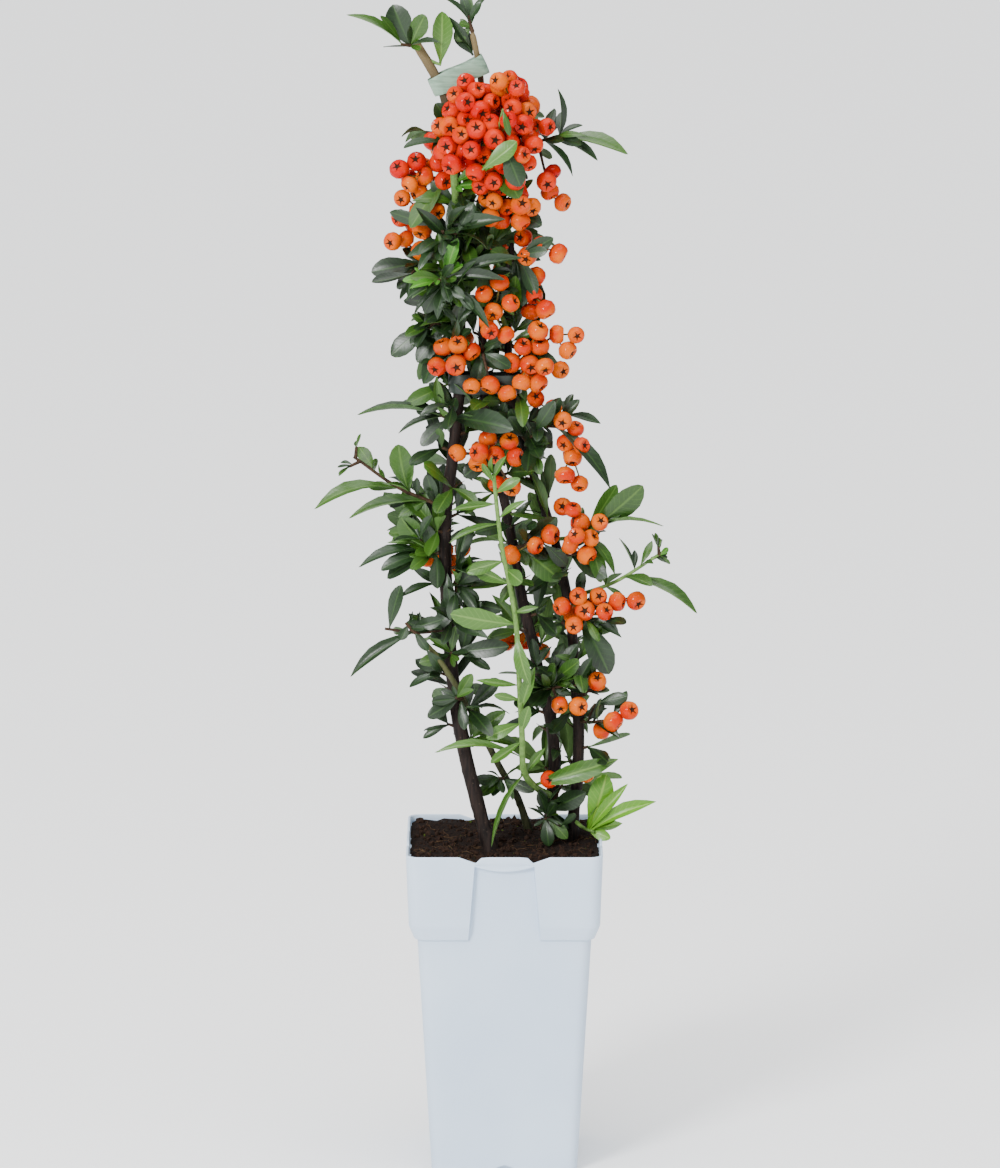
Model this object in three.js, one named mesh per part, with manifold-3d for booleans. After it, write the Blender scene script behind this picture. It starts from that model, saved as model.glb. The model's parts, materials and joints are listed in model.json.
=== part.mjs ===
// Firethorn (pyracantha) in a square climber pot: four woody stems and one young green shoot,
// bundled by two bands of tying tape, with tufts of narrow leaves and clusters of berries.
// Millimetres, +Z up. The origin is the centre of the pot's flat underside, the pot's front faces -Y.
import * as THREE from "three";
import { mergeVertices } from "three/addons/utils/BufferGeometryUtils.js";
import Module from "manifold-3d";

// ---- driving dimensions -------------------------------------------------------------------------
const GAP = 0.3; // clear space between neighbouring pieces

const POT_HEIGHT = 185;
const POT_RIM = 110; // across the flats, outside
const POT_COLLAR_FOOT = 107; // across the collar's lower edge
const POT_BODY_TOP = 97.5; // across the body, just under the collar
const POT_FOOT = 82; // across the foot
const POT_WALL = 1.5;
const POT_FLOOR = 5;
const COLLAR_HEIGHT = 48;
const CORNER_RADIUS = 7;
const PANEL_TOP = 32; // width of the sunk panel in each collar face
const PANEL_FOOT = 40;
const LIP_HEIGHT = 8.5; // rim band left above the panel, at mid span
const SOIL_TOP = 181;

const LEAF_WIDTH = 0.31; // of its length
const LEAF_THICK = 0.026; // of its length, from its underside to its ridge
const LEAF_ARCH = 0.03; // rise of the blade's middle above its chord, of its length
const LEAF_SINK = 0.2; // the leaf's root beyond its twig's axis
const LEAF_STAGGER = 1.7; // between the roots of leaves that share a place on a twig
const BERRY_RADIUS = 5.4;
const STALK_RADIUS = 0.6;
const TWIG_RADIUS = 1.3;
const TAPE_WIDTH = 11;
const TAPE_THICK = 0.6;
const GOLDEN_ANGLE = Math.PI * (3 - Math.sqrt(5));

const COLOUR = {
  pot: 0xd4dbe4, soil: 0x1e1714, bark: 0x2e2522, olive: 0x4b4f35, young: 0x7d9a5c,
  dark: 0x355a2b, fruit: 0xf2631f, tape: 0xb3c1b4,
};

const wasm = await Module();
wasm.setup();

// ---- small helpers ------------------------------------------------------------------------------
const vec = (list) => new THREE.Vector3(...list);
const mix = (a, b, t) => a + (b - a) * t;

// The same seed gives the same plant every time.
function seeded(seed) {
  let state = seed;
  return () => {
    state = (state + 0x6d2b79f5) | 0;
    let word = Math.imul(state ^ (state >>> 15), 1 | state);
    word = (word + Math.imul(word ^ (word >>> 7), 61 | word)) ^ word;
    return ((word ^ (word >>> 14)) >>> 0) / 4294967296;
  };
}

function solid(points, faces) {
  const vertProperties = new Float32Array(points.flatMap((point) => [point.x, point.y, point.z]));
  const triVerts = new Uint32Array(faces.flat());
  return new wasm.Manifold(new wasm.Mesh({ numProp: 3, vertProperties, triVerts }));
}

// A three.js geometry as a solid: only its positions, with shared corners merged.
function solidOf(geometry) {
  const bare = geometry.clone();
  bare.deleteAttribute("normal");
  bare.deleteAttribute("uv");
  const merged = mergeVertices(bare, 1e-4);
  const vertProperties = merged.attributes.position.array;
  const triVerts = new Uint32Array(merged.index.array);
  return new wasm.Manifold(new wasm.Mesh({ numProp: 3, vertProperties, triVerts }));
}

// Closes a stack of rings, each a list of the same number of points, with a flat cap at both ends.
function loft(rings) {
  const count = rings[0].length;
  const faces = [];
  for (let row = 0; row + 1 < rings.length; row++) {
    for (let i = 0; i < count; i++) {
      const a = row * count + i;
      const b = row * count + ((i + 1) % count);
      faces.push([a, b, b + count], [a, b + count, a + count]);
    }
  }
  const last = (rings.length - 1) * count;
  for (let i = 1; i + 1 < count; i++) {
    faces.push([0, i + 1, i], [last, last + i, last + i + 1]);
  }
  return solid(rings.flat(), faces);
}

// A tapering limb along a path: rings of `sides` points, the first one level where it is cut at the soil.
function limb(path, radii, sides, levelFoot = false) {
  const rings = [];
  let across = new THREE.Vector3(1, 0, 0);
  path.forEach((point, i) => {
    const along = path[Math.min(i + 1, path.length - 1)].clone().sub(path[Math.max(i - 1, 0)]).normalize();
    if (levelFoot && i === 0) along.set(0, 0, 1);
    if (i === 0 && Math.abs(along.x) > 0.9) across.set(0, 0, 1);
    across = across.clone().addScaledVector(along, -across.dot(along)).normalize();
    const side = along.clone().cross(across);
    rings.push(Array.from({ length: sides }, (_, k) => {
      const turn = (2 * Math.PI * k) / sides;
      return point.clone().addScaledVector(across, radii[i] * Math.cos(turn))
        .addScaledVector(side, radii[i] * Math.sin(turn));
    }));
  });
  return loft(rings);
}

// ---- stems --------------------------------------------------------------------------------------
// Each stem runs through a few points [x, y, z] and tapers evenly between named radii; `flare` is
// how much wider it is where it is cut at the soil.
const STEMS = {
  stem_left: {
    through: [[-8, -17, 181], [-19, -15, 222], [-27, -12, 262], [-31, -10, 302], [-33, -7, 365],
      [-27.5, -4.5, 415], [-25, -3, 450], [-27, -4, 560], [-33, -3, 604], [-50, 0, 636]],
    foot: 4, tip: 2.6, flare: 0.8, colour: COLOUR.bark,
  },
  stem_middle: {
    through: [[25, 13, 181], [28, 10, 235], [19, 6, 280], [9, 4, 325], [1, 2, 372], [-9, 1, 412],
      [-12, 0, 450], [-11, 1, 540], [-13, 0, 612], [-18, 0, 642]],
    foot: 3.6, tip: 1.6, flare: 0.7, colour: COLOUR.bark,
  },
  stem_right: {
    through: [[38, 10, 181], [42, 9, 235], [40, 7, 272], [37, 6, 309], [29, 5, 350], [12, 3, 405],
      [3.5, 1, 441], [2, 2, 490], [4, 4, 522]],
    foot: 3.4, tip: 1.9, flare: 0.8, colour: COLOUR.bark,
  },
  stem_crossing: {
    through: [[14, 27, 181], [8, 20, 201], [-1, 11, 219], [-13, -5, 246], [-25, -20, 272],
      [-37, -25, 292], [-50, -27, 308]],
    foot: 2.2, tip: 1.3, flare: 0.4, colour: COLOUR.olive,
  },
};
const STEM_SIDES = 6;
const STEM_STEPS = 13;

const tracks = {};
for (const [name, stem] of Object.entries(STEMS)) {
  const curve = new THREE.CatmullRomCurve3(stem.through.map(vec));
  const path = curve.getSpacedPoints(STEM_STEPS);
  const rooted = stem.through[0][2] === SOIL_TOP;
  if (rooted) path[0].z += GAP;
  const radii = path.map((_, i) => mix(stem.foot, stem.tip, i / STEM_STEPS));
  if (rooted) {
    radii[0] += stem.flare;
    path.splice(1, 0, path[0].clone().lerp(path[1], 0.35));
    radii.splice(1, 0, mix(radii[0], radii[1], 0.8));
  }
  tracks[name] = { path, radii, rooted };
}

// The point of a stem at a height, with the radius there.
function onStem(name, height) {
  const { path, radii } = tracks[name];
  const above = path.findIndex((point) => point.z >= height);
  const high = above < 0 ? path.length - 1 : Math.max(above, 1);
  const t = Math.min((height - path[high - 1].z) / (path[high].z - path[high - 1].z), 1);
  return { point: path[high - 1].clone().lerp(path[high], t), radius: mix(radii[high - 1], radii[high], t) };
}

// A stem, or the space round it and past its tip that other pieces keep out of.
const stemSolid = (name, extra = 0) => {
  const { path, radii, rooted } = tracks[name];
  const [before, tip] = path.slice(-2);
  const beyond = tip.clone().addScaledVector(tip.clone().sub(before).normalize(), extra);
  return limb([...path.slice(0, -1), beyond], radii.map((radius) => radius + extra), STEM_SIDES, rooted);
};

// ---- pot and soil -------------------------------------------------------------------------------
const CORNER_STEPS = 2;

function roundedSquare(across, corner, z) {
  const flat = across / 2 - corner;
  const ring = [];
  for (let quarter = 0; quarter < 4; quarter++) {
    for (let step = 0; step <= CORNER_STEPS; step++) {
      const turn = (Math.PI / 2) * (quarter + step / CORNER_STEPS);
      const signX = quarter === 0 || quarter === 3 ? 1 : -1;
      const signY = quarter < 2 ? 1 : -1;
      const x = signX * flat + corner * Math.cos(turn);
      ring.push(new THREE.Vector3(x, signY * flat + corner * Math.sin(turn), z));
    }
  }
  return ring;
}

const COLLAR_FOOT = POT_HEIGHT - COLLAR_HEIGHT;
const CHAMFER = 7; // height of the sloping step under the collar
const STEP_Z = POT_HEIGHT - 7; // the wall is thin above this level, where the rim band is
const bodyAcross = (z) => mix(POT_FOOT, POT_BODY_TOP, z / COLLAR_FOOT);

// One face's cutter: everything outside the sunk panel's plane, inside its outline.
function panelCutter() {
  const outline = new THREE.Shape();
  const top = POT_HEIGHT - LIP_HEIGHT;
  const ends = top + 3;
  outline.moveTo(-PANEL_FOOT / 2, COLLAR_FOOT - 3);
  outline.lineTo(PANEL_FOOT / 2, COLLAR_FOOT - 3);
  outline.lineTo(PANEL_TOP / 2, ends);
  outline.quadraticCurveTo(0, top - 3, -PANEL_TOP / 2, ends);
  const block = new THREE.ExtrudeGeometry(outline, { depth: 10, bevelEnabled: false, curveSegments: 5 });
  const lean = Math.atan((POT_BODY_TOP - POT_FOOT) / 2 / COLLAR_FOOT);
  block.rotateX(Math.PI / 2);
  block.translate(0, -bodyAcross(COLLAR_FOOT) / 2, -COLLAR_FOOT);
  block.rotateX(lean);
  block.translate(0, 0, COLLAR_FOOT);
  return block;
}

// The V notches at both ends of the rim band, and the small arch in the foot.
function notchCutter(side) {
  const outline = new THREE.Shape();
  outline.moveTo(side * 12.5, POT_HEIGHT + 0.5);
  outline.lineTo(side * 16, POT_HEIGHT - 3.4);
  outline.lineTo(side * 25, POT_HEIGHT + 0.5);
  const block = new THREE.ExtrudeGeometry(outline, { depth: 8, bevelEnabled: false });
  block.rotateX(Math.PI / 2);
  block.translate(0, -POT_RIM / 2 + 5, 0);
  return block;
}

function footArch() {
  const outline = new THREE.Shape();
  outline.moveTo(-6, -1);
  outline.lineTo(6, -1);
  outline.lineTo(6, 0.5);
  outline.quadraticCurveTo(0, 6.5, -6, 0.5);
  const block = new THREE.ExtrudeGeometry(outline, { depth: 8, bevelEnabled: false, curveSegments: 5 });
  block.rotateX(Math.PI / 2);
  block.translate(0, -POT_FOOT / 2 + 3, 0);
  return block;
}

function makePot() {
  const outer = loft([
    roundedSquare(POT_FOOT - 2, CORNER_RADIUS - 2, 0),
    roundedSquare(bodyAcross(2), CORNER_RADIUS - 1, 2),
    roundedSquare(POT_BODY_TOP, CORNER_RADIUS, COLLAR_FOOT - 2),
    roundedSquare(POT_COLLAR_FOOT - 6, CORNER_RADIUS, COLLAR_FOOT),
    roundedSquare(POT_COLLAR_FOOT, CORNER_RADIUS, COLLAR_FOOT + CHAMFER),
    roundedSquare(POT_RIM, CORNER_RADIUS, POT_HEIGHT),
  ]);
  const inner = loft([
    roundedSquare(bodyAcross(POT_FLOOR) - 2 * POT_WALL, CORNER_RADIUS - 2, POT_FLOOR),
    roundedSquare(bodyAcross(STEP_Z) - 2 * POT_WALL, CORNER_RADIUS - 2, STEP_Z),
    roundedSquare(POT_RIM - 2 * POT_WALL, CORNER_RADIUS - 1, STEP_Z + 2),
    roundedSquare(POT_RIM - 2 * POT_WALL, CORNER_RADIUS - 1, POT_HEIGHT + 1),
  ]);
  let pot = outer.subtract(inner);
  for (let face = 0; face < 4; face++) {
    for (const block of [panelCutter(), notchCutter(-1), notchCutter(1), footArch()]) {
      block.rotateZ((face * Math.PI) / 2);
      pot = pot.subtract(solidOf(block));
    }
  }
  return pot;
}

function makeSoil() {
  const fit = 2 * (POT_WALL + GAP);
  return loft([
    roundedSquare(bodyAcross(POT_FLOOR) - fit, CORNER_RADIUS - 2, POT_FLOOR + GAP),
    roundedSquare(bodyAcross(STEP_Z) - fit, CORNER_RADIUS - 2, STEP_Z),
    roundedSquare(POT_RIM - fit, CORNER_RADIUS - 1, STEP_Z + 2 + GAP),
    roundedSquare(POT_RIM - fit, CORNER_RADIUS - 1, SOIL_TOP),
  ]);
}

// ---- tying tapes --------------------------------------------------------------------------------
// A flat loop round two or more stems: a long ring with round ends, extruded to the tape's width.
const TAPES = {
  tie_upper: { centre: [-25.5, -1.5, 616], span: 23, room: 4.6, tilt: 25 },
  tie_lower: { centre: [-10.9, -1.4, 444], span: 27, room: 6.4, tilt: 0 },
};

function makeTape({ centre, span, room, tilt }) {
  const ring = (radius, shape) => {
    shape.absarc(span / 2, 0, radius, -Math.PI / 2, Math.PI / 2, false);
    shape.absarc(-span / 2, 0, radius, Math.PI / 2, (3 * Math.PI) / 2, false);
    return shape;
  };
  const outline = ring(room + TAPE_THICK, new THREE.Shape());
  outline.holes.push(ring(room, new THREE.Path()));
  const options = { depth: TAPE_WIDTH, bevelEnabled: false, curveSegments: 4 };
  const band = new THREE.ExtrudeGeometry(outline, options);
  band.translate(0, 0, -TAPE_WIDTH / 2);
  band.rotateY(THREE.MathUtils.degToRad(-tilt));
  band.translate(...centre);
  return solidOf(band);
}

// ---- the plan of the crown ----------------------------------------------------------------------
// Each mass is one twig from a stem at a height, out to its tip [x, y, z], with its main colour and
// with parts along it:
//   leaf: one blade from the point `at` along the twig, its tip [x, y, z] from there, with its
//         width as a share of its length, and how far it faces outwards (1) instead of up (0);
//   tuft: leaves in threes on short spurs, set round the twig from `at` to its tip;
//   fruit: a side stalk to a cluster's centre, with berries spread round it.
const leaf = (at, reach, wide = LEAF_WIDTH, face = 0.5) => ({ kind: "leaf", at, reach, wide, face });
const tuft = (at, count, length) => ({ kind: "tuft", at, count, length });
const fruit = (at, centre, count, spread) => ({ kind: "fruit", at, centre, count, spread });

// The young shoot springs from the middle stem's foot and stands in front of the others.
const YOUNG_SHOOT = [[16, -8, 216], [11, -20, 226], [10, -27, 245], [8, -30, 285], [6, -31, 317],
  [-2, -32, 360], [-6, -34, 398]];

const CROWN = [
  ["tuft_tip_left", "stem_left", 633, [-57, -6, 634], "dark",
    [leaf(1, [-31, -4, 17], 0.2, 0.4), leaf(0.7, [-15, 3, -1], 0.28, 0.3),
      leaf(0.1, [-9, 5, 23], 0.6, 1), leaf(0.05, [18, -5, 3], 0.18, 0.3),
      leaf(0.3, [8, 9, 18], 0.5, 0.8)]],
  ["leaf_tip_pale", "stem_left", 627, [-35, -2, 622], "young",
    [leaf(1, [1, -1, 30], 0.42, 1)]],
  ["tuft_tip_right", "stem_middle", 640, [-20, -1, 649], "dark",
    [leaf(0.7, [-16, -4, 15], 0.2, 0.4), leaf(1, [12, 3, 15], 0.24, 0.4),
      leaf(0.1, [-7, -3, 3], 0.5, 0.7), leaf(1, [-3, 10, 19], 0.3, 0.5),
      leaf(0.05, [-9, 2, -8], 0.55, 0.9)]],
  ["tuft_right_high", "stem_middle", 577, [31, -4, 583], "dark",
    [leaf(1, [-1, -2, 27], 0.2, 0.7), leaf(1, [40, -8, -9], 0.2, 0.5), leaf(1, [25, -2, -13], 0.2, 0.4),
      leaf(0.9, [17, -6, -20], 0.26, 0.6), leaf(0.82, [-3, -6, 11], 0.6, 0.9),
      leaf(1, [15, 4, 6], 0.3, 0.4), leaf(0.9, [8, 16, 10], 0.3, 0.5),
      leaf(0.7, [14, 12, -10], 0.3, 0.5), fruit(0.7, [25, -6, 552], 3, [5, 5, 11])]],
  ["fruit_top_left", "stem_left", 590, [-27, -15, 592], "fruit",
    [fruit(0.9, [-18, -19, 602], 5, [9, 6, 7]), fruit(0.8, [-28, -17, 583], 5, [8, 7, 9]),
      leaf(0.3, [-9, -5, 12], 0.6, 0.9), leaf(0.5, [-10, -6, -16], 0.3, 0.6)]],
  ["fruit_top_right", "stem_middle", 596, [6, -12, 594], "fruit",
    [fruit(1, [3, -17, 604], 5, [9, 6, 8]), fruit(0.9, [14, -14, 583], 7, [8, 7, 11])]],
  ["fruit_top_low", "stem_middle", 572, [-7, -20, 576], "fruit",
    [fruit(0.9, [-6, -24, 584], 7, [10, 6, 9]), fruit(0.7, [-7, -20, 566], 3, [7, 4, 5]),
      leaf(1, [16, -12, -24], 0.5, 0.9), leaf(0.5, [-8, -4, -14], 0.4, 0.7)]],
  ["fruit_left_high", "stem_left", 562, [-41, -8, 560], "fruit",
    [fruit(1, [-44, -9, 561], 3, [6, 4, 5]), fruit(0.6, [-48, -8, 542], 4, [6, 4, 8]),
      leaf(0.5, [-6, -4, 17], 0.25, 0.6), leaf(0.6, [-18, 6, -34], 0.3, 0.5)]],
  ["shoot_pruned", "stem_left", 538, [-28, -25, 567], "young",
    [leaf(0.7, [13, -5, 2], 0.4, 0.6), leaf(0.5, [17, -6, 6], 0.3, 0.5),
      leaf(0.4, [-25, -5, 3], 0.26, 0.5), leaf(0.3, [-15, -4, 17], 0.36, 0.7),
      leaf(0.75, [24, -3, 14], 0.22, 0.6)]],
  ["fruit_middle_high", "stem_middle", 548, [0, -14, 549], "fruit",
    [fruit(1, [1, -17, 545], 7, [10, 6, 10]), leaf(0.5, [28, -8, -14], 0.4, 0.7)]],
  ["rosette_high", "stem_left", 522, [-34, -21, 532], "dark",
    [tuft(0.5, 7, 24), leaf(1, [34, -4, 10], 0.3, 0.6), leaf(0.9, [-17, -4, 22], 0.35, 0.7)]],
  ["rosette_low", "stem_left", 492, [-35, -27, 507], "young",
    [leaf(1, [34, -6, 0], 0.22, 0.5), leaf(0.9, [24, -6, -24], 0.22, 0.5),
      leaf(1, [42, -3, 13], 0.2, 0.5), leaf(1, [-18, -5, -8], 0.25, 0.5),
      leaf(0.8, [-17, -3, -17], 0.25, 0.5), tuft(0.7, 6, 22)]],
  ["tuft_left_high", "stem_left", 510, [-48, -4, 512], "dark",
    [leaf(1, [-27, -2, -5], 0.46, 0.9), leaf(0.8, [-16, 4, 9], 0.3, 0.5),
      leaf(0.8, [-19, -2, -19], 0.3, 0.5), leaf(0.5, [-8, 12, 12], 0.35, 0.6),
      leaf(0.6, [-6, 14, -12], 0.35, 0.6), fruit(0.9, [-55, -3, 525], 2, [5, 3, 4])]],
  ["tuft_right_mid", "stem_right", 512, [10, -10, 518], "dark",
    [leaf(0.8, [19, -4, 11], 0.4, 0.8), leaf(1, [16, -3, 4], 0.4, 0.8), leaf(1, [9, -3, -22], 0.35, 0.8),
      leaf(0.8, [4, -6, -26], 0.4, 0.8), leaf(0.5, [14, 5, -30], 0.3, 0.6),
      leaf(0.4, [12, 14, 4], 0.35, 0.6), fruit(0.9, [20, -6, 522], 3, [6, 4, 5]),
      fruit(0.6, [16, -5, 494], 3, [4, 4, 10])]],
  ["fruit_front_mid", "stem_middle", 492, [-5, -15, 490], "fruit",
    [fruit(1, [-6, -19, 487], 5, [6, 4, 14])]],
  ["tuft_left_mid", "stem_left", 476, [-42, -4, 478], "dark",
    [leaf(1, [-22, -3, -18], 0.42, 0.8), leaf(0.9, [-14, -2, 6], 0.4, 0.7),
      leaf(0.7, [-16, -3, -20], 0.42, 0.8), leaf(0.4, [-16, -5, -32], 0.36, 0.8), tuft(0.4, 6, 19)]],
  ["fruit_left_mid", "stem_left", 472, [-29, -17, 470], "fruit",
    [fruit(1, [-27, -17, 458], 4, [7, 4, 10]), leaf(0.8, [8, -8, -2], 0.5, 0.8),
      leaf(0.7, [2, -6, 22], 0.4, 0.9)]],
  ["fruit_tie", "stem_middle", 466, [-12, -13, 462], "dark",
    [fruit(1, [-8, -14, 445], 2, [4, 2, 2]), leaf(1, [16, -4, -8], 0.45, 0.8),
      leaf(0.8, [-8, -4, -12], 0.5, 0.8), leaf(0.7, [12, -6, 6], 0.5, 0.8),
      leaf(0.5, [-4, -8, -22], 0.4, 0.8)]],
  ["fruit_right_mid", "stem_right", 466, [14, -10, 462], "fruit",
    [fruit(1, [14, -12, 456], 6, [7, 5, 12]), fruit(0.9, [29, -6, 472], 2, [4, 3, 4]),
      fruit(0.8, [31, -6, 452], 1, [1, 1, 1]), leaf(0.8, [24, -4, -10], 0.26, 0.5)]],
  ["fruit_right_chain", "stem_right", 424, [32, -8, 420], "fruit",
    [fruit(0.8, [27, -9, 431], 3, [6, 4, 8]), fruit(1, [38, -9, 403], 6, [4, 4, 20]),
      leaf(1, [28, -2, -38], 0.24, 0.8), leaf(0.9, [9, -3, 4], 0.4, 0.6)]],
  ["tuft_right_lower", "stem_right", 408, [15, -14, 416], "dark",
    [tuft(0.3, 8, 23)]],
  ["tuft_left_tie", "stem_left", 424, [-36, -9, 427], "dark",
    [leaf(1, [-47, -4, 1], 0.14, 0.3), leaf(1, [-4, -4, 24], 0.24, 0.7),
      leaf(0.7, [4, -6, 13], 0.4, 0.8), leaf(0.6, [-16, -5, -15], 0.4, 0.7),
      leaf(0.8, [-26, -4, -9], 0.2, 0.4), leaf(0.5, [42, -14, -3], 0.3, 0.7)]],
  ["fruit_middle_low", "stem_middle", 404, [-8, -14, 406], "fruit",
    [fruit(1, [-5, -18, 406], 5, [11, 4, 6]), fruit(0.9, [-26, -16, 407], 1, [1, 1, 1]),
      leaf(0.7, [-16, -5, -12], 0.5, 0.8), fruit(0.8, [4, -16, 388], 2, [6, 4, 4])]],
  ["shoot_left_arm", "stem_left", 374, [-84, -12, 404], "dark",
    [leaf(0.42, [-6, -3, 28], 0.6, 1), leaf(0.55, [-48, -6, -11], 0.17, 0.4),
      leaf(0.25, [-46, -6, -9], 0.2, 0.45), leaf(0.3, [-17, -5, -9], 0.32, 0.6),
      leaf(0.12, [-6, -5, 18], 0.42, 0.9), leaf(0.7, [-4, -3, 9], 0.25, 0.6), tuft(0.9, 4, 9),
      leaf(0.5, [-12, 16, 6], 0.3, 0.5)]],
  ["tuft_left_low", "stem_left", 350, [-42, -8, 348], "dark",
    [leaf(1, [-17, -4, 22], 0.5, 0.9), leaf(0.8, [-6, -6, 18], 0.4, 0.8),
      leaf(1, [-44, -5, -7], 0.16, 0.3), leaf(0.9, [-28, -4, 7], 0.16, 0.4),
      leaf(1, [-28, -7, -8], 0.28, 0.5), leaf(0.8, [-28, -2, -14], 0.3, 0.5),
      leaf(0.5, [2, -8, -22], 0.4, 0.8), leaf(0.7, [-16, 12, 2], 0.35, 0.5)]],
  ["tuft_middle_low", "stem_left", 332, [-26, -15, 332], "dark",
    [leaf(1, [16, -4, 14], 0.45, 0.8), leaf(1, [14, -5, -8], 0.4, 0.7),
      leaf(0.8, [-4, -6, -18], 0.45, 0.8), tuft(0.5, 4, 18)]],
  ["twig_left_low", "stem_left", 306, [-67, -10, 306], "dark",
    [leaf(0.95, [7, -2, 26], 0.34, 0.9), leaf(0.65, [1, -3, 13], 0.15, 0.7),
      leaf(0.45, [15, -5, 12], 0.45, 0.8), leaf(0.6, [-2, 15, 8], 0.3, 0.5),
      leaf(0.3, [-14, -6, 6], 0.4, 0.7)]],
  ["tuft_crossing_tip", "stem_crossing", 306, [-55, -29, 313], "dark",
    [leaf(0.9, [-4, -4, -8], 0.6, 0.9), leaf(0.1, [-36, -5, -25], 0.2, 0.6),
      leaf(1, [18, -4, 6], 0.4, 0.8), leaf(0.8, [8, -6, -10], 0.4, 0.8)]],
  ["leaf_front_fold", "stem_left", 290, [-30, -18, 294], "dark",
    [leaf(1, [33, -5, 5], 0.32, 0.8), leaf(0.6, [-18, -4, -4], 0.4, 0.8),
      leaf(0.4, [-6, 14, 8], 0.35, 0.5)]],
  ["young_shoot", "stem_middle", 205, YOUNG_SHOOT, "young",
    [leaf(0.98, [-7, -4, 12], 0.45, 0.9), leaf(1, [7, -4, 14], 0.3, 0.9),
      leaf(0.97, [14, -3, 9], 0.4, 0.9), leaf(0.95, [-26, -5, -3], 0.24, 0.8),
      leaf(1, [-1, -5, 12], 0.3, 0.8), leaf(0.88, [-28, -5, -10], 0.2, 0.7),
      leaf(0.9, [16, -4, 12], 0.2, 0.7), leaf(0.8, [-22, -4, -6], 0.42, 0.9),
      leaf(0.75, [9, -8, -6], 0.8, 1), leaf(0.72, [-20, -3, 9], 0.36, 0.9),
      leaf(0.62, [-37, -5, 7], 0.42, 0.95), leaf(0.66, [14, -3, 4], 0.3, 0.8),
      leaf(0.58, [8, -3, -30], 0.3, 0.95), leaf(0.45, [-25, -4, 4], 0.2, 0.8),
      leaf(0.42, [-15, -5, 4], 0.35, 0.8), leaf(0.4, [8, -4, 26], 0.28, 0.9),
      leaf(0.34, [-20, -3, -8], 0.4, 0.9), leaf(0.3, [-18, -5, -12], 0.32, 0.8),
      leaf(0.33, [4, -5, 17], 0.4, 1), leaf(0.14, [48, -4, 16], 0.26, 0.8),
      leaf(0.24, [-50, -4, 4], 0.07, 0.4), leaf(0.2, [-19, -24, -38], 0.08, 0.5),
      leaf(0.2, [11, 4, 14], 0.3, 0.7)]],
  ["leaf_right_light", "stem_right", 354, [49, -7, 362], "young",
    [leaf(1, [29, -4, 26], 0.42, 0.9), leaf(0.95, [17, 5, 26], 0.3, 0.7),
      leaf(0.9, [46, -5, 5], 0.13, 0.3), leaf(1, [18, -4, -24], 0.26, 0.6),
      leaf(0.8, [10, -4, -28], 0.36, 0.8), leaf(0.6, [8, 16, 8], 0.3, 0.5)]],
  ["fruit_right_low", "stem_right", 346, [42, -12, 350], "fruit",
    [fruit(1, [48, -13, 358], 5, [11, 4, 7]), fruit(0.8, [38, -12, 374], 2, [3, 3, 4])]],
  ["fruit_middle_sparse", "stem_middle", 350, [15, -12, 356], "dark",
    [fruit(1, [17, -13, 354], 3, [13, 5, 14]), leaf(0.6, [20, -6, 18], 0.4, 0.8),
      leaf(0.5, [24, -6, -18], 0.5, 0.9)]],
  ["shoot_right_arm", "stem_right", 320, [88, -8, 349], "young",
    [leaf(0.6, [42, -6, -20], 0.17, 0.45), leaf(0.75, [-9, 3, 18], 0.14, 0.5), tuft(0.85, 6, 11),
      leaf(0.5, [-4, -4, 16], 0.3, 0.8), leaf(0.4, [10, 18, 4], 0.3, 0.5)]],
  ["fruit_right_foot", "stem_right", 312, [46, -10, 312], "fruit",
    [fruit(1, [45, -13, 317], 6, [12, 5, 7]), fruit(1, [63, -8, 321], 2, [2, 2, 5]),
      leaf(0.8, [17, -4, -32], 0.42, 0.9), leaf(0.7, [26, -2, -12], 0.15, 0.5)]],
  ["spur_right_low", "stem_right", 250, [54, -5, 252], "dark",
    [fruit(1, [61, -6, 252], 3, [4, 4, 8]), leaf(0.8, [17, -3, -10], 0.26, 0.5),
      leaf(0.6, [8, -5, 12], 0.4, 0.7), leaf(0.5, [4, 14, 4], 0.35, 0.5)]],
  ["spur_right_mid", "stem_right", 266, [49, -5, 270], "dark",
    [fruit(1, [52, -6, 275], 1, [1, 1, 1]), leaf(0.9, [12, -3, 2], 0.3, 0.6)]],
  ["fruit_low_middle", "stem_middle", 272, [27, -10, 272], "dark",
    [fruit(1, [31, -13, 263], 2, [3, 3, 9]), tuft(0.3, 6, 23)]],
  ["tuft_crossing_mid", "stem_crossing", 268, [-27, -27, 270], "dark",
    [leaf(1, [9, -4, 15], 0.4, 0.8), leaf(1, [-15, -4, -1], 0.4, 0.8), leaf(1, [-18, -4, -10], 0.4, 0.8),
      leaf(0.6, [2, -6, -17], 0.36, 0.8)]],
  ["shoot_foot_right", "stem_right", 192, [50, -8, 189], "young",
    [leaf(0.8, [10, -3, 33], 0.42, 1), leaf(1, [37, -4, 18], 0.2, 0.5), leaf(1, [22, -3, 28], 0.18, 0.5),
      leaf(1, [13, -6, -4], 0.45, 0.9), leaf(0.9, [17, -4, 12], 0.3, 0.6)]],
  ["tuft_foot_front", "stem_middle", 204, [23, -8, 196], "dark",
    [leaf(1, [2, -5, -15], 0.5, 0.9), leaf(0.8, [-5, -5, 15], 0.36, 0.8),
      leaf(1, [12, -5, -12], 0.42, 0.8), leaf(0.7, [14, -5, 6], 0.3, 0.6),
      leaf(0.5, [22, -4, 14], 0.45, 0.8), fruit(0.5, [35, -6, 221], 2, [4, 2, 2])]],
  ["fruit_top_back", "stem_middle", 594, [0, 15, 598], "fruit",
    [fruit(1, [0, 17, 594], 5, [11, 5, 10]), tuft(0.5, 3, 24)]],
  ["tuft_top_back", "stem_left", 578, [-33, 14, 582], "dark",
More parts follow.
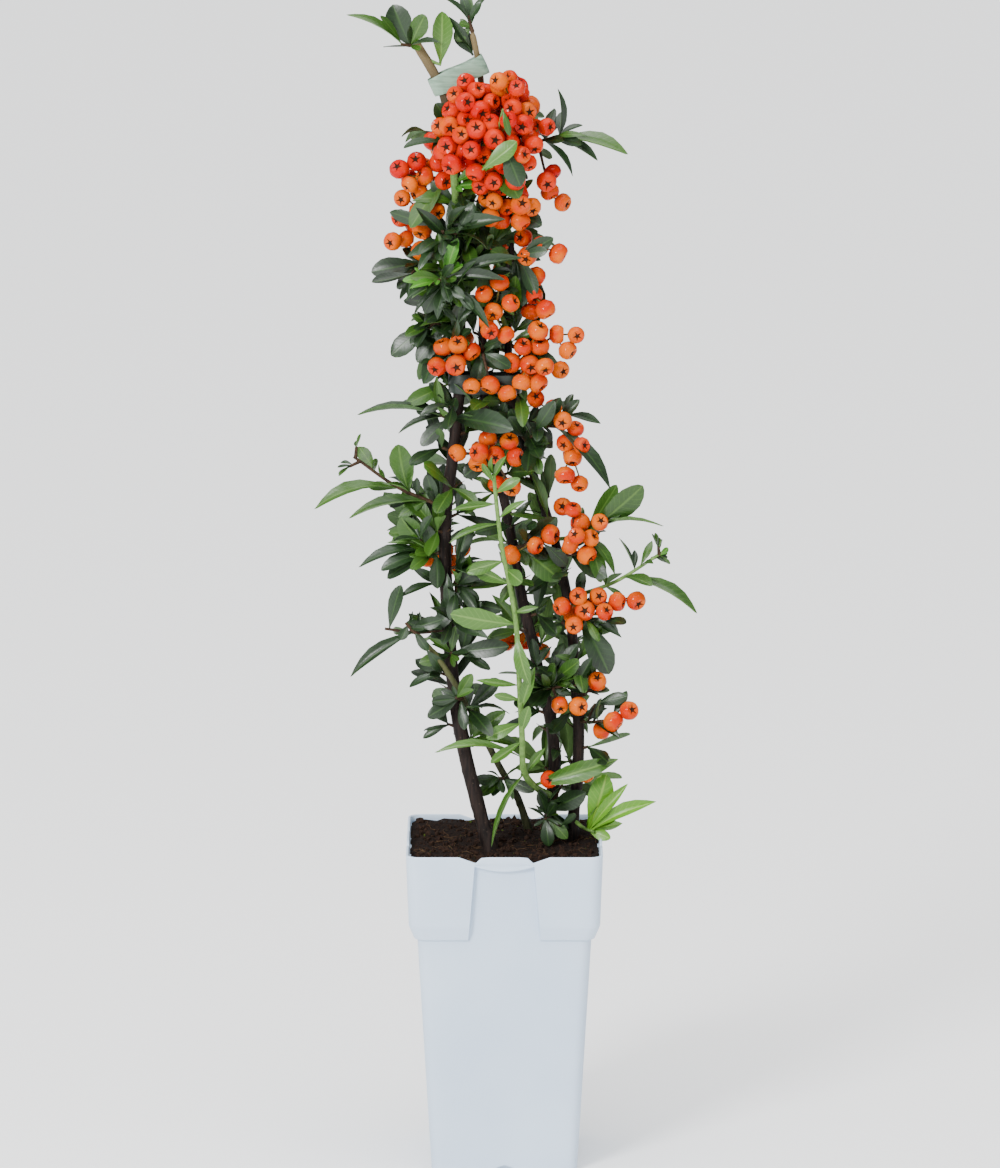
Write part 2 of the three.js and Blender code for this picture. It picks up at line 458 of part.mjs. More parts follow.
    [tuft(0.4, 6, 25), fruit(0.9, [-26, 18, 576], 3, [6, 4, 6])]],
  ["tuft_crossing_low", "stem_crossing", 216, [-3, 1, 218], "dark",
    [leaf(1, [-16, -9, 0], 0.36, 0.8), leaf(0.9, [-13, -11, -8], 0.4, 0.8),
      leaf(0.7, [18, -8, -6], 0.36, 0.8)]],
];

// The far side repeats one rule: a tuft with a cluster every BACK_STEP up the stems, turned left and
// right in turn.
const BACK_LOWEST = 300;
const BACK_STEP = 55;
const BACK_COUNT = 5;
const BACK_REACH = 26;
for (let k = 0; k < BACK_COUNT; k++) {
  const height = BACK_LOWEST + BACK_STEP * k;
  const side = k % 2 === 0 ? 1 : -1;
  const stem = side > 0 ? "stem_middle" : "stem_left";
  const turn = side * THREE.MathUtils.degToRad(12 + 8 * (k % 3));
  const { x, y } = onStem(stem, height).point;
  const tip = [x + BACK_REACH * Math.sin(turn), y + BACK_REACH * Math.cos(turn), height + 4];
  const centre = [tip[0] - 8 * side, tip[1] + 4, height - 10];
  CROWN.push([`tuft_back_${k + 1}`, stem, height, tip, k % 3 ? "dark" : "fruit",
    [tuft(0.3, 6, 28), fruit(0.9, centre, 4, [8, 5, 7])]]);
}

// ---- twigs, leaves and berries ------------------------------------------------------------------
// A point and the direction along a path, at a share of its length.
function along(path, share) {
  const place = share * (path.length - 1);
  const low = Math.min(Math.floor(place), path.length - 2);
  return {
    point: path[low].clone().lerp(path[low + 1], place - low),
    heading: path[low + 1].clone().sub(path[low]).normalize(),
  };
}

// A twig bows: it leaves its stem sideways and turns up towards its tip.
function twigPath(start, tip, steps, bow) {
  const reach = tip.clone().sub(start);
  return Array.from({ length: steps + 1 }, (_, i) => {
    const t = i / steps;
    const point = start.clone().addScaledVector(reach, t);
    point.z -= bow * reach.length() * 4 * t * (1 - t);
    return point;
  });
}

// A longer shoot runs smoothly through a few points.
const SHOOT_STEPS = 10;
const bentPath = (start, through) =>
  new THREE.CatmullRomCurve3([start, ...through.map(vec)]).getSpacedPoints(SHOOT_STEPS);

// A leaf blade: six outline points, widest past its middle, arched lengthways, thickest at its ridge.
const LEAF_OUTLINE = [[0, 0], [0.36, 0.85], [0.76, 0.95], [1, 0], [0.76, -0.95], [0.36, -0.85]];
const LEAF_UNDERSIDE = [[5, 1, 0], [5, 4, 1], [4, 2, 1], [4, 3, 2]];
const LEAF_RIDGE = 0.45; // place of the thickest point, as a share of the length
function blade(root, reach, wide, face, outwards, margin) {
  const length = reach.length();
  const heading = reach.clone().normalize();
  const start = root.clone().addScaledVector(heading, -LEAF_SINK);
  const full = length + LEAF_SINK;
  const upper = new THREE.Vector3(0, 0, 1 - face).addScaledVector(outwards, face);
  upper.addScaledVector(heading, -upper.dot(heading)).normalize();
  const side = heading.clone().cross(upper);
  const half = (wide * length) / 2 + margin;
  const at = (share, across, lift) => start.clone().addScaledVector(heading, share * full)
    .addScaledVector(side, across * half)
    .addScaledVector(upper, LEAF_ARCH * full * 4 * share * (1 - share) + lift);
  const points = LEAF_OUTLINE.map(([share, across]) => at(share, across, -margin));
  const ridge = points.push(at(LEAF_RIDGE, 0, LEAF_THICK * length + margin)) - 1;
  const upperFaces = LEAF_OUTLINE.map((_, i) => [i, (i + 1) % ridge, ridge]);
  return solid(points, [...upperFaces, ...LEAF_UNDERSIDE]);
}

function berry(centre, radius) {
  return solidOf(new THREE.IcosahedronGeometry(radius, 0).translate(centre.x, centre.y, centre.z));
}

// The first berry ends the cluster's stalk, at its centre. The others start evenly round an ellipsoid,
// then move away from each other and from the stalk until they only just touch.
const PUSH_PASSES = 40;
const APART = 1.02; // centres of touching berries, in diameters
function berryPlaces(stalk, count, spread, random) {
  const centre = stalk.end;
  const turn = random() * 2 * Math.PI;
  const places = Array.from({ length: count }, (_, i) => {
    const height = 1 - (2 * i) / count;
    const level = Math.sqrt(1 - height * height);
    const around = turn + i * GOLDEN_ANGLE;
    const point = new THREE.Vector3(level * Math.cos(around), level * Math.sin(around), height);
    return point.multiply(vec(spread)).multiplyScalar(0.85 + 0.3 * random()).add(centre);
  });
  places[0].copy(centre);
  const beside = new THREE.Vector3();
  for (let pass = 0; pass < PUSH_PASSES; pass++) {
    for (let i = 1; i < count; i++) {
      for (let j = 0; j < i; j++) {
        const apart = places[i].clone().sub(places[j]);
        const short = 2 * BERRY_RADIUS * APART - apart.length();
        if (short > 0) {
          apart.normalize().multiplyScalar(j > 0 ? short / 2 : short);
          places[i].add(apart);
          if (j > 0) places[j].sub(apart);
        }
      }
      stalk.closestPointToPoint(places[i], true, beside);
      const apart = places[i].clone().sub(beside);
      const short = BERRY_RADIUS * APART + TWIG_RADIUS - apart.length();
      if (short > 0) places[i].addScaledVector(apart.normalize(), short);
    }
  }
  return places;
}

// A piece of a mass, with a slightly fatter guard that has to stay clear of every other node.
const MARGIN = 0.35;
const stick = (path, radius) => ({
  body: limb(path, path.map((_, i) => radius * (1 - 0.35 * (i / (path.length - 1)))), 3),
  guard: limb(path, path.map(() => radius + MARGIN), 3),
});

// Past its root, a leaf also stays clear of its own mass. Where it would touch something, it turns
// outwards, one step further each time, and is left off if no turn is clear.
const ROOT_SHARE = 0.35;
const TURNS = [0, 0.25, 0.5, 0.8];
function leafPiece(root, reach, wide, face, outwards) {
  const ways = TURNS.map((turn) => {
    const length = reach.length();
    const turned = reach.clone().addScaledVector(outwards, turn * length).setLength(length);
    const free = root.clone().addScaledVector(turned, ROOT_SHARE);
    return {
      body: blade(root, turned, wide, face, outwards, 0),
      guard: blade(root, turned, wide, face, outwards, MARGIN),
      free: blade(free, turned.clone().multiplyScalar(1 - ROOT_SHARE), wide, face, outwards, 0),
    };
  });
  return { role: "leaf", ways };
}

// Three leaves on a short spur, again and again round the twig.
const SPUR_LENGTH = 6;
function growTuft(pieces, twig, part, origin, random) {
  const spurs = Math.ceil(part.count / 3);
  const start = random() * 2 * Math.PI;
  for (let spur = 0; spur < spurs; spur++) {
    const share = mix(part.at, 1, (spur + 0.6) / spurs);
    const { point, heading } = along(twig, share);
    const aside = new THREE.Vector3(0, 0, 1).addScaledVector(heading, -heading.z).normalize();
    aside.applyAxisAngle(heading, start + spur * GOLDEN_ANGLE);
    const out = heading.clone().multiplyScalar(0.6).add(aside).normalize();
    const end = point.clone().addScaledVector(out, SPUR_LENGTH * (0.7 + 0.5 * random()));
    pieces.push(stick([point, end], TWIG_RADIUS * 0.85));
    for (let k = 0; k < 3; k++) {
      const lean = 0.75 + 0.3 * random();
      const reach = out.clone().multiplyScalar(0.8)
        .addScaledVector(aside.clone().applyAxisAngle(out, (2 * Math.PI * (k + random() * 0.5)) / 3), lean)
        .normalize().multiplyScalar(part.length * (0.8 + 0.35 * random()));
      const face = 0.35 + 0.5 * random();
      if (spur * 3 + k < part.count) {
        const root = point.clone().lerp(end, 1 - 0.3 * k);
        pieces.push(leafPiece(root, reach, LEAF_WIDTH + 0.1 * random(), face, outwards(origin, root, reach)));
      }
    }
  }
}

// The level direction that a leaf turns its face to: the plant's front or back, whichever it grows on.
function outwards(origin, root, reach) {
  const away = root.clone().addScaledVector(reach, 0.5).sub(origin);
  return new THREE.Vector3(0.02 * away.x, away.y > 3 ? 1 : -1, 0).normalize();
}

// A cluster: a side stalk carries the first berry on its end, and the others on short stalks from it,
// or from the nearest berry.
function growFruit(pieces, twig, part, random) {
  const stalk = new THREE.Line3(along(twig, part.at).point, vec(part.centre));
  pieces.push(stick([stalk.start, stalk.end], TWIG_RADIUS * 0.7));
  const joined = [];
  for (const place of berryPlaces(stalk, part.count, part.spread, random)) {
    const guard = berry(place, BERRY_RADIUS + MARGIN);
    pieces.push({ body: berry(place, BERRY_RADIUS), guard, joined, stalk, role: "berry", place });
  }
}

function joinBerry({ body, place, joined, stalk }) {
  const foot = stalk.closestPointToPoint(place, true, new THREE.Vector3());
  const nearer = (best, next) => (next.distanceTo(place) < best.distanceTo(place) ? next : best);
  const nearest = joined.reduce(nearer, foot);
  joined.push(place);
  if (nearest.distanceTo(place) < BERRY_RADIUS * 0.6) return body;
  return body.add(limb([nearest, place], [STALK_RADIUS, STALK_RADIUS], 3));
}

const TWIG_STEPS = 2;
const STEM_CLEAR = 1.6; // from a stem's surface to the first leaf of a twig
function plan([name, stem, height, tip, tone, parts], index) {
  const random = seeded(1000 + index);
  const { point: origin, radius } = onStem(stem, height);
  const bent = Array.isArray(tip[0]);
  const twig = bent ? bentPath(origin, tip) : twigPath(origin, vec(tip), TWIG_STEPS, 0.06);
  const twigLength = origin.distanceTo(twig[twig.length - 1]);
  const pieces = [];
  for (const [order, part] of parts.entries()) {
    if (part.kind === "leaf") {
      const back = 0.6 + LEAF_STAGGER * (order % 4);
      const root = along(twig, Math.max(part.at * twigLength - back, radius + STEM_CLEAR) / twigLength).point;
      const reach = vec(part.reach);
      pieces.push(leafPiece(root, reach, part.wide, part.face, outwards(origin, root, reach)));
    } else if (part.kind === "tuft") {
      growTuft(pieces, twig, part, origin, random);
    } else {
      growFruit(pieces, twig, part, random);
    }
  }
  return { name, tone, twig: stick(twig, TWIG_RADIUS), pieces, kept: [] };
}

// ---- putting the plant together -----------------------------------------------------------------
const boxOf = (body) => body.boundingBox();
function touches(a, b) {
  const one = boxOf(a);
  const two = boxOf(b);
  for (let axis = 0; axis < 3; axis++) {
    if (one.max[axis] < two.min[axis] || two.max[axis] < one.min[axis]) return false;
  }
  return !a.intersect(b).isEmpty();
}

const bigger = (best, next) => (next.volume() > best.volume() ? next : best);
const largest = (body) => body.decompose().reduce(bigger);

const fixed = { pot: makePot(), soil: makeSoil() };
for (const [name, tape] of Object.entries(TAPES)) fixed[name] = makeTape(tape);
for (const name of Object.keys(STEMS)) fixed[name] = stemSolid(name);

const masses = CROWN.map(plan);
const stemGuards = Object.keys(STEMS).map((name) => stemSolid(name, GAP));
const limbs = [...stemGuards, fixed.tie_upper, fixed.tie_lower, fixed.pot, fixed.soil];

// Each twig starts inside its stem, and is cut back to leave the gap.
for (const mass of masses) {
  for (const stem of stemGuards) {
    if (touches(mass.twig.body, stem)) mass.twig.body = largest(mass.twig.body.subtract(stem));
  }
}

for (const mass of masses) {
  const others = masses.filter((other) => other !== mass);
  const clear = (guard) => !limbs.some((other) => touches(guard, other))
    && !others.some((other) => [other.twig.body, ...other.kept].some((body) => touches(guard, body)));
  const crowded = (body) => mass.kept.some((kept) => touches(kept, body));
  for (const piece of mass.pieces) {
    if (piece.role === "leaf") {
      const way = piece.ways.find(({ guard, free }) => clear(guard) && !crowded(free));
      if (way) mass.kept.push(way.body);
      continue;
    }
    if (!clear(piece.guard)) continue;
    if (piece.role === "berry" && piece.joined.length && crowded(piece.body)) continue;
    mass.kept.push(piece.role === "berry" ? joinBerry(piece) : piece.body);
  }
}

const group = new THREE.Group();

function addPiece(name, body, colour, roughness) {
  const { vertProperties, triVerts } = body.getMesh();
  const geometry = new THREE.BufferGeometry();
  geometry.setAttribute("position", new THREE.BufferAttribute(vertProperties, 3));
  geometry.setIndex(new THREE.BufferAttribute(triVerts, 1));
  const material = new THREE.MeshStandardMaterial({ color: colour, roughness, metalness: 0 });
  const mesh = new THREE.Mesh(geometry, material);
  mesh.name = name;
  group.add(mesh);
}

addPiece("pot", fixed.pot, COLOUR.pot, 0.4);
addPiece("soil", fixed.soil, COLOUR.soil, 1);
for (const [name, stem] of Object.entries(STEMS)) addPiece(name, fixed[name], stem.colour, 0.8);
for (const name of Object.keys(TAPES)) addPiece(name, fixed[name], COLOUR.tape, 0.5);
for (const mass of masses) {
  const body = largest(wasm.Manifold.union([mass.twig.body, ...mass.kept]));
  addPiece(mass.name, body, COLOUR[mass.tone], 0.5);
}

export default group;
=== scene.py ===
"""The looks of a potted firethorn: bark, twigs, leaves, berries, pot, soil and ties round its solids.

The crown grows here by the same rule and the same seeds as its solids do, carried to finer twigs,
smaller leaves and more berries. Lengths are in millimetres until a mesh is made, then in metres.
"""

import bisect
import json
import math

import bmesh
import bpy
from mathutils import Matrix, Quaternion, Vector, kdtree, noise

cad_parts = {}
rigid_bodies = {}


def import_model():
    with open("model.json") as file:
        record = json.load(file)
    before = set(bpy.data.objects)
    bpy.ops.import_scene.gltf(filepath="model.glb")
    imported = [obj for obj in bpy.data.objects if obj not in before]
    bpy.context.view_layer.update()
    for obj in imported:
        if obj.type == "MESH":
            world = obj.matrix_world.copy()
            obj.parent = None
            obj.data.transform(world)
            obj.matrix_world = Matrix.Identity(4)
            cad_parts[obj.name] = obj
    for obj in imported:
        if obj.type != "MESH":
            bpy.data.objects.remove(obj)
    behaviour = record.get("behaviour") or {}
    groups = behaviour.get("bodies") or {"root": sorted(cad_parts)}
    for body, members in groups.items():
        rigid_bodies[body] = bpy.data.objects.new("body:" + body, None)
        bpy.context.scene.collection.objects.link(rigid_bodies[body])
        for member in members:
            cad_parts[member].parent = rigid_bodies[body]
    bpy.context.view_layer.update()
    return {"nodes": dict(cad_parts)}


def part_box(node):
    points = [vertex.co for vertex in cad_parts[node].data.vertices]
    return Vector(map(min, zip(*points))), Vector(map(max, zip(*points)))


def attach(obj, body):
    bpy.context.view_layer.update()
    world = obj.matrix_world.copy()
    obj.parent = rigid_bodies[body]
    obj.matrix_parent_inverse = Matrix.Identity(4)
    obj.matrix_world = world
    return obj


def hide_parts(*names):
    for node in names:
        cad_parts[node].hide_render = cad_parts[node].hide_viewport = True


for startup in list(bpy.data.objects):
    bpy.data.objects.remove(startup)
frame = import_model()

# ---- driving dimensions, in millimetres, as in the solids ----------------------------------------
MM = 0.001
GAP = 0.3
POT_HEIGHT = 185
POT_RIM = 110
POT_COLLAR_FOOT = 107
POT_BODY_TOP = 97.5
POT_FOOT = 82
POT_WALL = 1.5
COLLAR_FOOT = POT_HEIGHT - 48
CORNER_RADIUS = 7
SOIL_TOP = 181

LEAF_WIDTH = 0.31
LEAF_THICK = 0.026
LEAF_ARCH = 0.03
LEAF_SINK = 0.2
LEAF_RIDGE = 0.45
LEAF_STAGGER = 1.7
LEAF_TURNS = (0, 0.25, 0.5, 0.8)
BERRY_RADIUS = 5.4
BERRIES_APART = 1.02
PUSH_PASSES = 40
TWIG_RADIUS = 1.3
SHOOT_RADII = {"young_shoot": (1.6, 0.9), "shoot_pruned": (1.9, 1.7)}  # first and last, of a twig's
TWIG_STEPS = 2
SHOOT_STEPS = 10
SPUR_LENGTH = 6
STEM_CLEAR = 1.6
STEM_STEPS = 13
FLARE_AT = 0.35  # of a stem's first step: where most of its foot's flare has gone
FLARE_LEFT = 0.8
GOLDEN_ANGLE = math.pi * (3 - math.sqrt(5))
BACK_FROM = 3  # growth further back than this faces the back
# The two tying tapes: the middle, the straight run, the room inside and the tilt in degrees.
TAPE_WIDTH = 11
TAPES = {
    "tie_upper": {"centre": (-25.5, -1.5, 616), "run": 23, "room": 4.6, "tilt": -25},
    "tie_lower": {"centre": (-10.9, -1.4, 444), "run": 27, "room": 6.4, "tilt": 0},
}
# One fixed seed for each thing that is dealt by chance; a row or a tone counts on from it.
MASS_SEED, FINE_SEED, FASCICLE_SEED = 1000, 5000, 7000
LEAF_SEED, BERRY_SEED = 9000, 9100
CRUMB_SEED, MOSS_SEED, FIBRE_SEED = 21, 22, 31

UP = Vector((0, 0, 1))


def mix(low, high, share):
    return low + (high - low) * share


def ease(value, low, high):
    """0 below low, 1 above high, and smooth between them."""
    share = min(max((value - low) / (high - low), 0), 1)
    return share * share * (3 - 2 * share)


def seeded(seed):
    """The solids' own random rule: the same seed gives the same draws."""
    state = seed

    def draw():
        nonlocal state
        state = (state + 0x6D2B79F5) & 0xFFFFFFFF
        word = (state ^ (state >> 15)) * (1 | state) & 0xFFFFFFFF
        word = (word + ((word ^ (word >> 7)) * (61 | word) & 0xFFFFFFFF)) & 0xFFFFFFFF ^ word
        return ((word ^ (word >> 14)) & 0xFFFFFFFF) / 4294967296

    return draw


# ---- stems: the solids' paths --------------------------------------------------------------------
STEMS = {
    "stem_left": {
        "through": [(-8, -17, 181), (-19, -15, 222), (-27, -12, 262), (-31, -10, 302), (-33, -7, 365),
                    (-27.5, -4.5, 415), (-25, -3, 450), (-27, -4, 560), (-33, -3, 604), (-50, 0, 636)],
        "foot": 4, "tip": 2.6, "flare": 0.8,
    },
    "stem_middle": {
        "through": [(25, 13, 181), (28, 10, 235), (19, 6, 280), (9, 4, 325), (1, 2, 372), (-9, 1, 412),
                    (-12, 0, 450), (-11, 1, 540), (-13, 0, 612), (-18, 0, 642)],
        "foot": 3.6, "tip": 1.6, "flare": 0.7,
    },
    "stem_right": {
        "through": [(38, 10, 181), (42, 9, 235), (40, 7, 272), (37, 6, 309), (29, 5, 350), (12, 3, 405),
                    (3.5, 1, 441), (2, 2, 490), (4, 4, 522)],
        "foot": 3.4, "tip": 1.9, "flare": 0.8,
    },
    "stem_crossing": {
        "through": [(14, 27, 181), (8, 20, 201), (-1, 11, 219), (-13, -5, 246), (-25, -20, 272),
                    (-37, -25, 292), (-50, -27, 308)],
        "foot": 2.2, "tip": 1.3, "flare": 0.4,
    },
}


def smooth_point(points, share):
    """A point of the centripetal Catmull-Rom curve through the points."""
    place = (len(points) - 1) * share
    low = min(int(place), len(points) - 2)
    t = place - low
    start, end = points[low], points[low + 1]
    before = points[low - 1] if low > 0 else 2 * start - end
    after = points[low + 2] if low + 2 < len(points) else 2 * end - start
    gaps = [(b - a).length ** 0.5 for a, b in ((before, start), (start, end), (end, after))]
    leave = (start - before) / gaps[0] - (end - before) / (gaps[0] + gaps[1]) + (end - start) / gaps[1]
    arrive = (end - start) / gaps[1] - (after - start) / (gaps[1] + gaps[2]) + (after - end) / gaps[2]
    leave *= gaps[1]
    arrive *= gaps[1]
    square = 3 * (end - start) - 2 * leave - arrive
    cube = 2 * (start - end) + leave + arrive
    return start + t * leave + t * t * square + t * t * t * cube


def spaced(through, steps, fine=200):
    """Points set evenly along the smooth curve."""
    points = [Vector(point) for point in through]
    walk = [smooth_point(points, i / fine) for i in range(fine + 1)]
    lengths = [0.0]
    for a, b in zip(walk, walk[1:]):
        lengths.append(lengths[-1] + (b - a).length)
    path = []
    for k in range(steps + 1):
        target = lengths[-1] * k / steps
        i = min(bisect.bisect_right(lengths, target) - 1, fine - 1)
        share = (target - lengths[i]) / (lengths[i + 1] - lengths[i])
        path.append(smooth_point(points, min((i + share) / fine, 1)))
    return path


tracks = {}
for stem_name, stem in STEMS.items():
    path = spaced(stem["through"], STEM_STEPS)
    path[0].z += GAP
    radii = [mix(stem["foot"], stem["tip"], i / STEM_STEPS) for i in range(STEM_STEPS + 1)]
    radii[0] += stem["flare"]
    path.insert(1, path[0].lerp(path[1], FLARE_AT))
    radii.insert(1, mix(radii[0], radii[1], FLARE_LEFT))
    tracks[stem_name] = (path, radii)


def on_stem(name, height):
    """The point of a stem at a height, with the radius there."""
    path, radii = tracks[name]
    above = next((i for i, point in enumerate(path) if point.z >= height), len(path) - 1)
    high = max(above, 1)
    share = min((height - path[high - 1].z) / (path[high].z - path[high - 1].z), 1)
    return path[high - 1].lerp(path[high], share), mix(radii[high - 1], radii[high], share)


# ---- the plan of the crown, as in the solids -----------------------------------------------------
def leaf(at, reach, wide=LEAF_WIDTH, face=0.5):
    return {"kind": "leaf", "at": at, "reach": Vector(reach), "wide": wide, "face": face}


def tuft(at, count, length):
    return {"kind": "tuft", "at": at, "count": count, "length": length}


def fruit(at, centre, count, spread):
    return {"kind": "fruit", "at": at, "centre": Vector(centre), "count": count, "spread": spread}


YOUNG_SHOOT = [[16, -8, 216], [11, -20, 226], [10, -27, 245], [8, -30, 285], [6, -31, 317],
               [-2, -32, 360], [-6, -34, 398]]

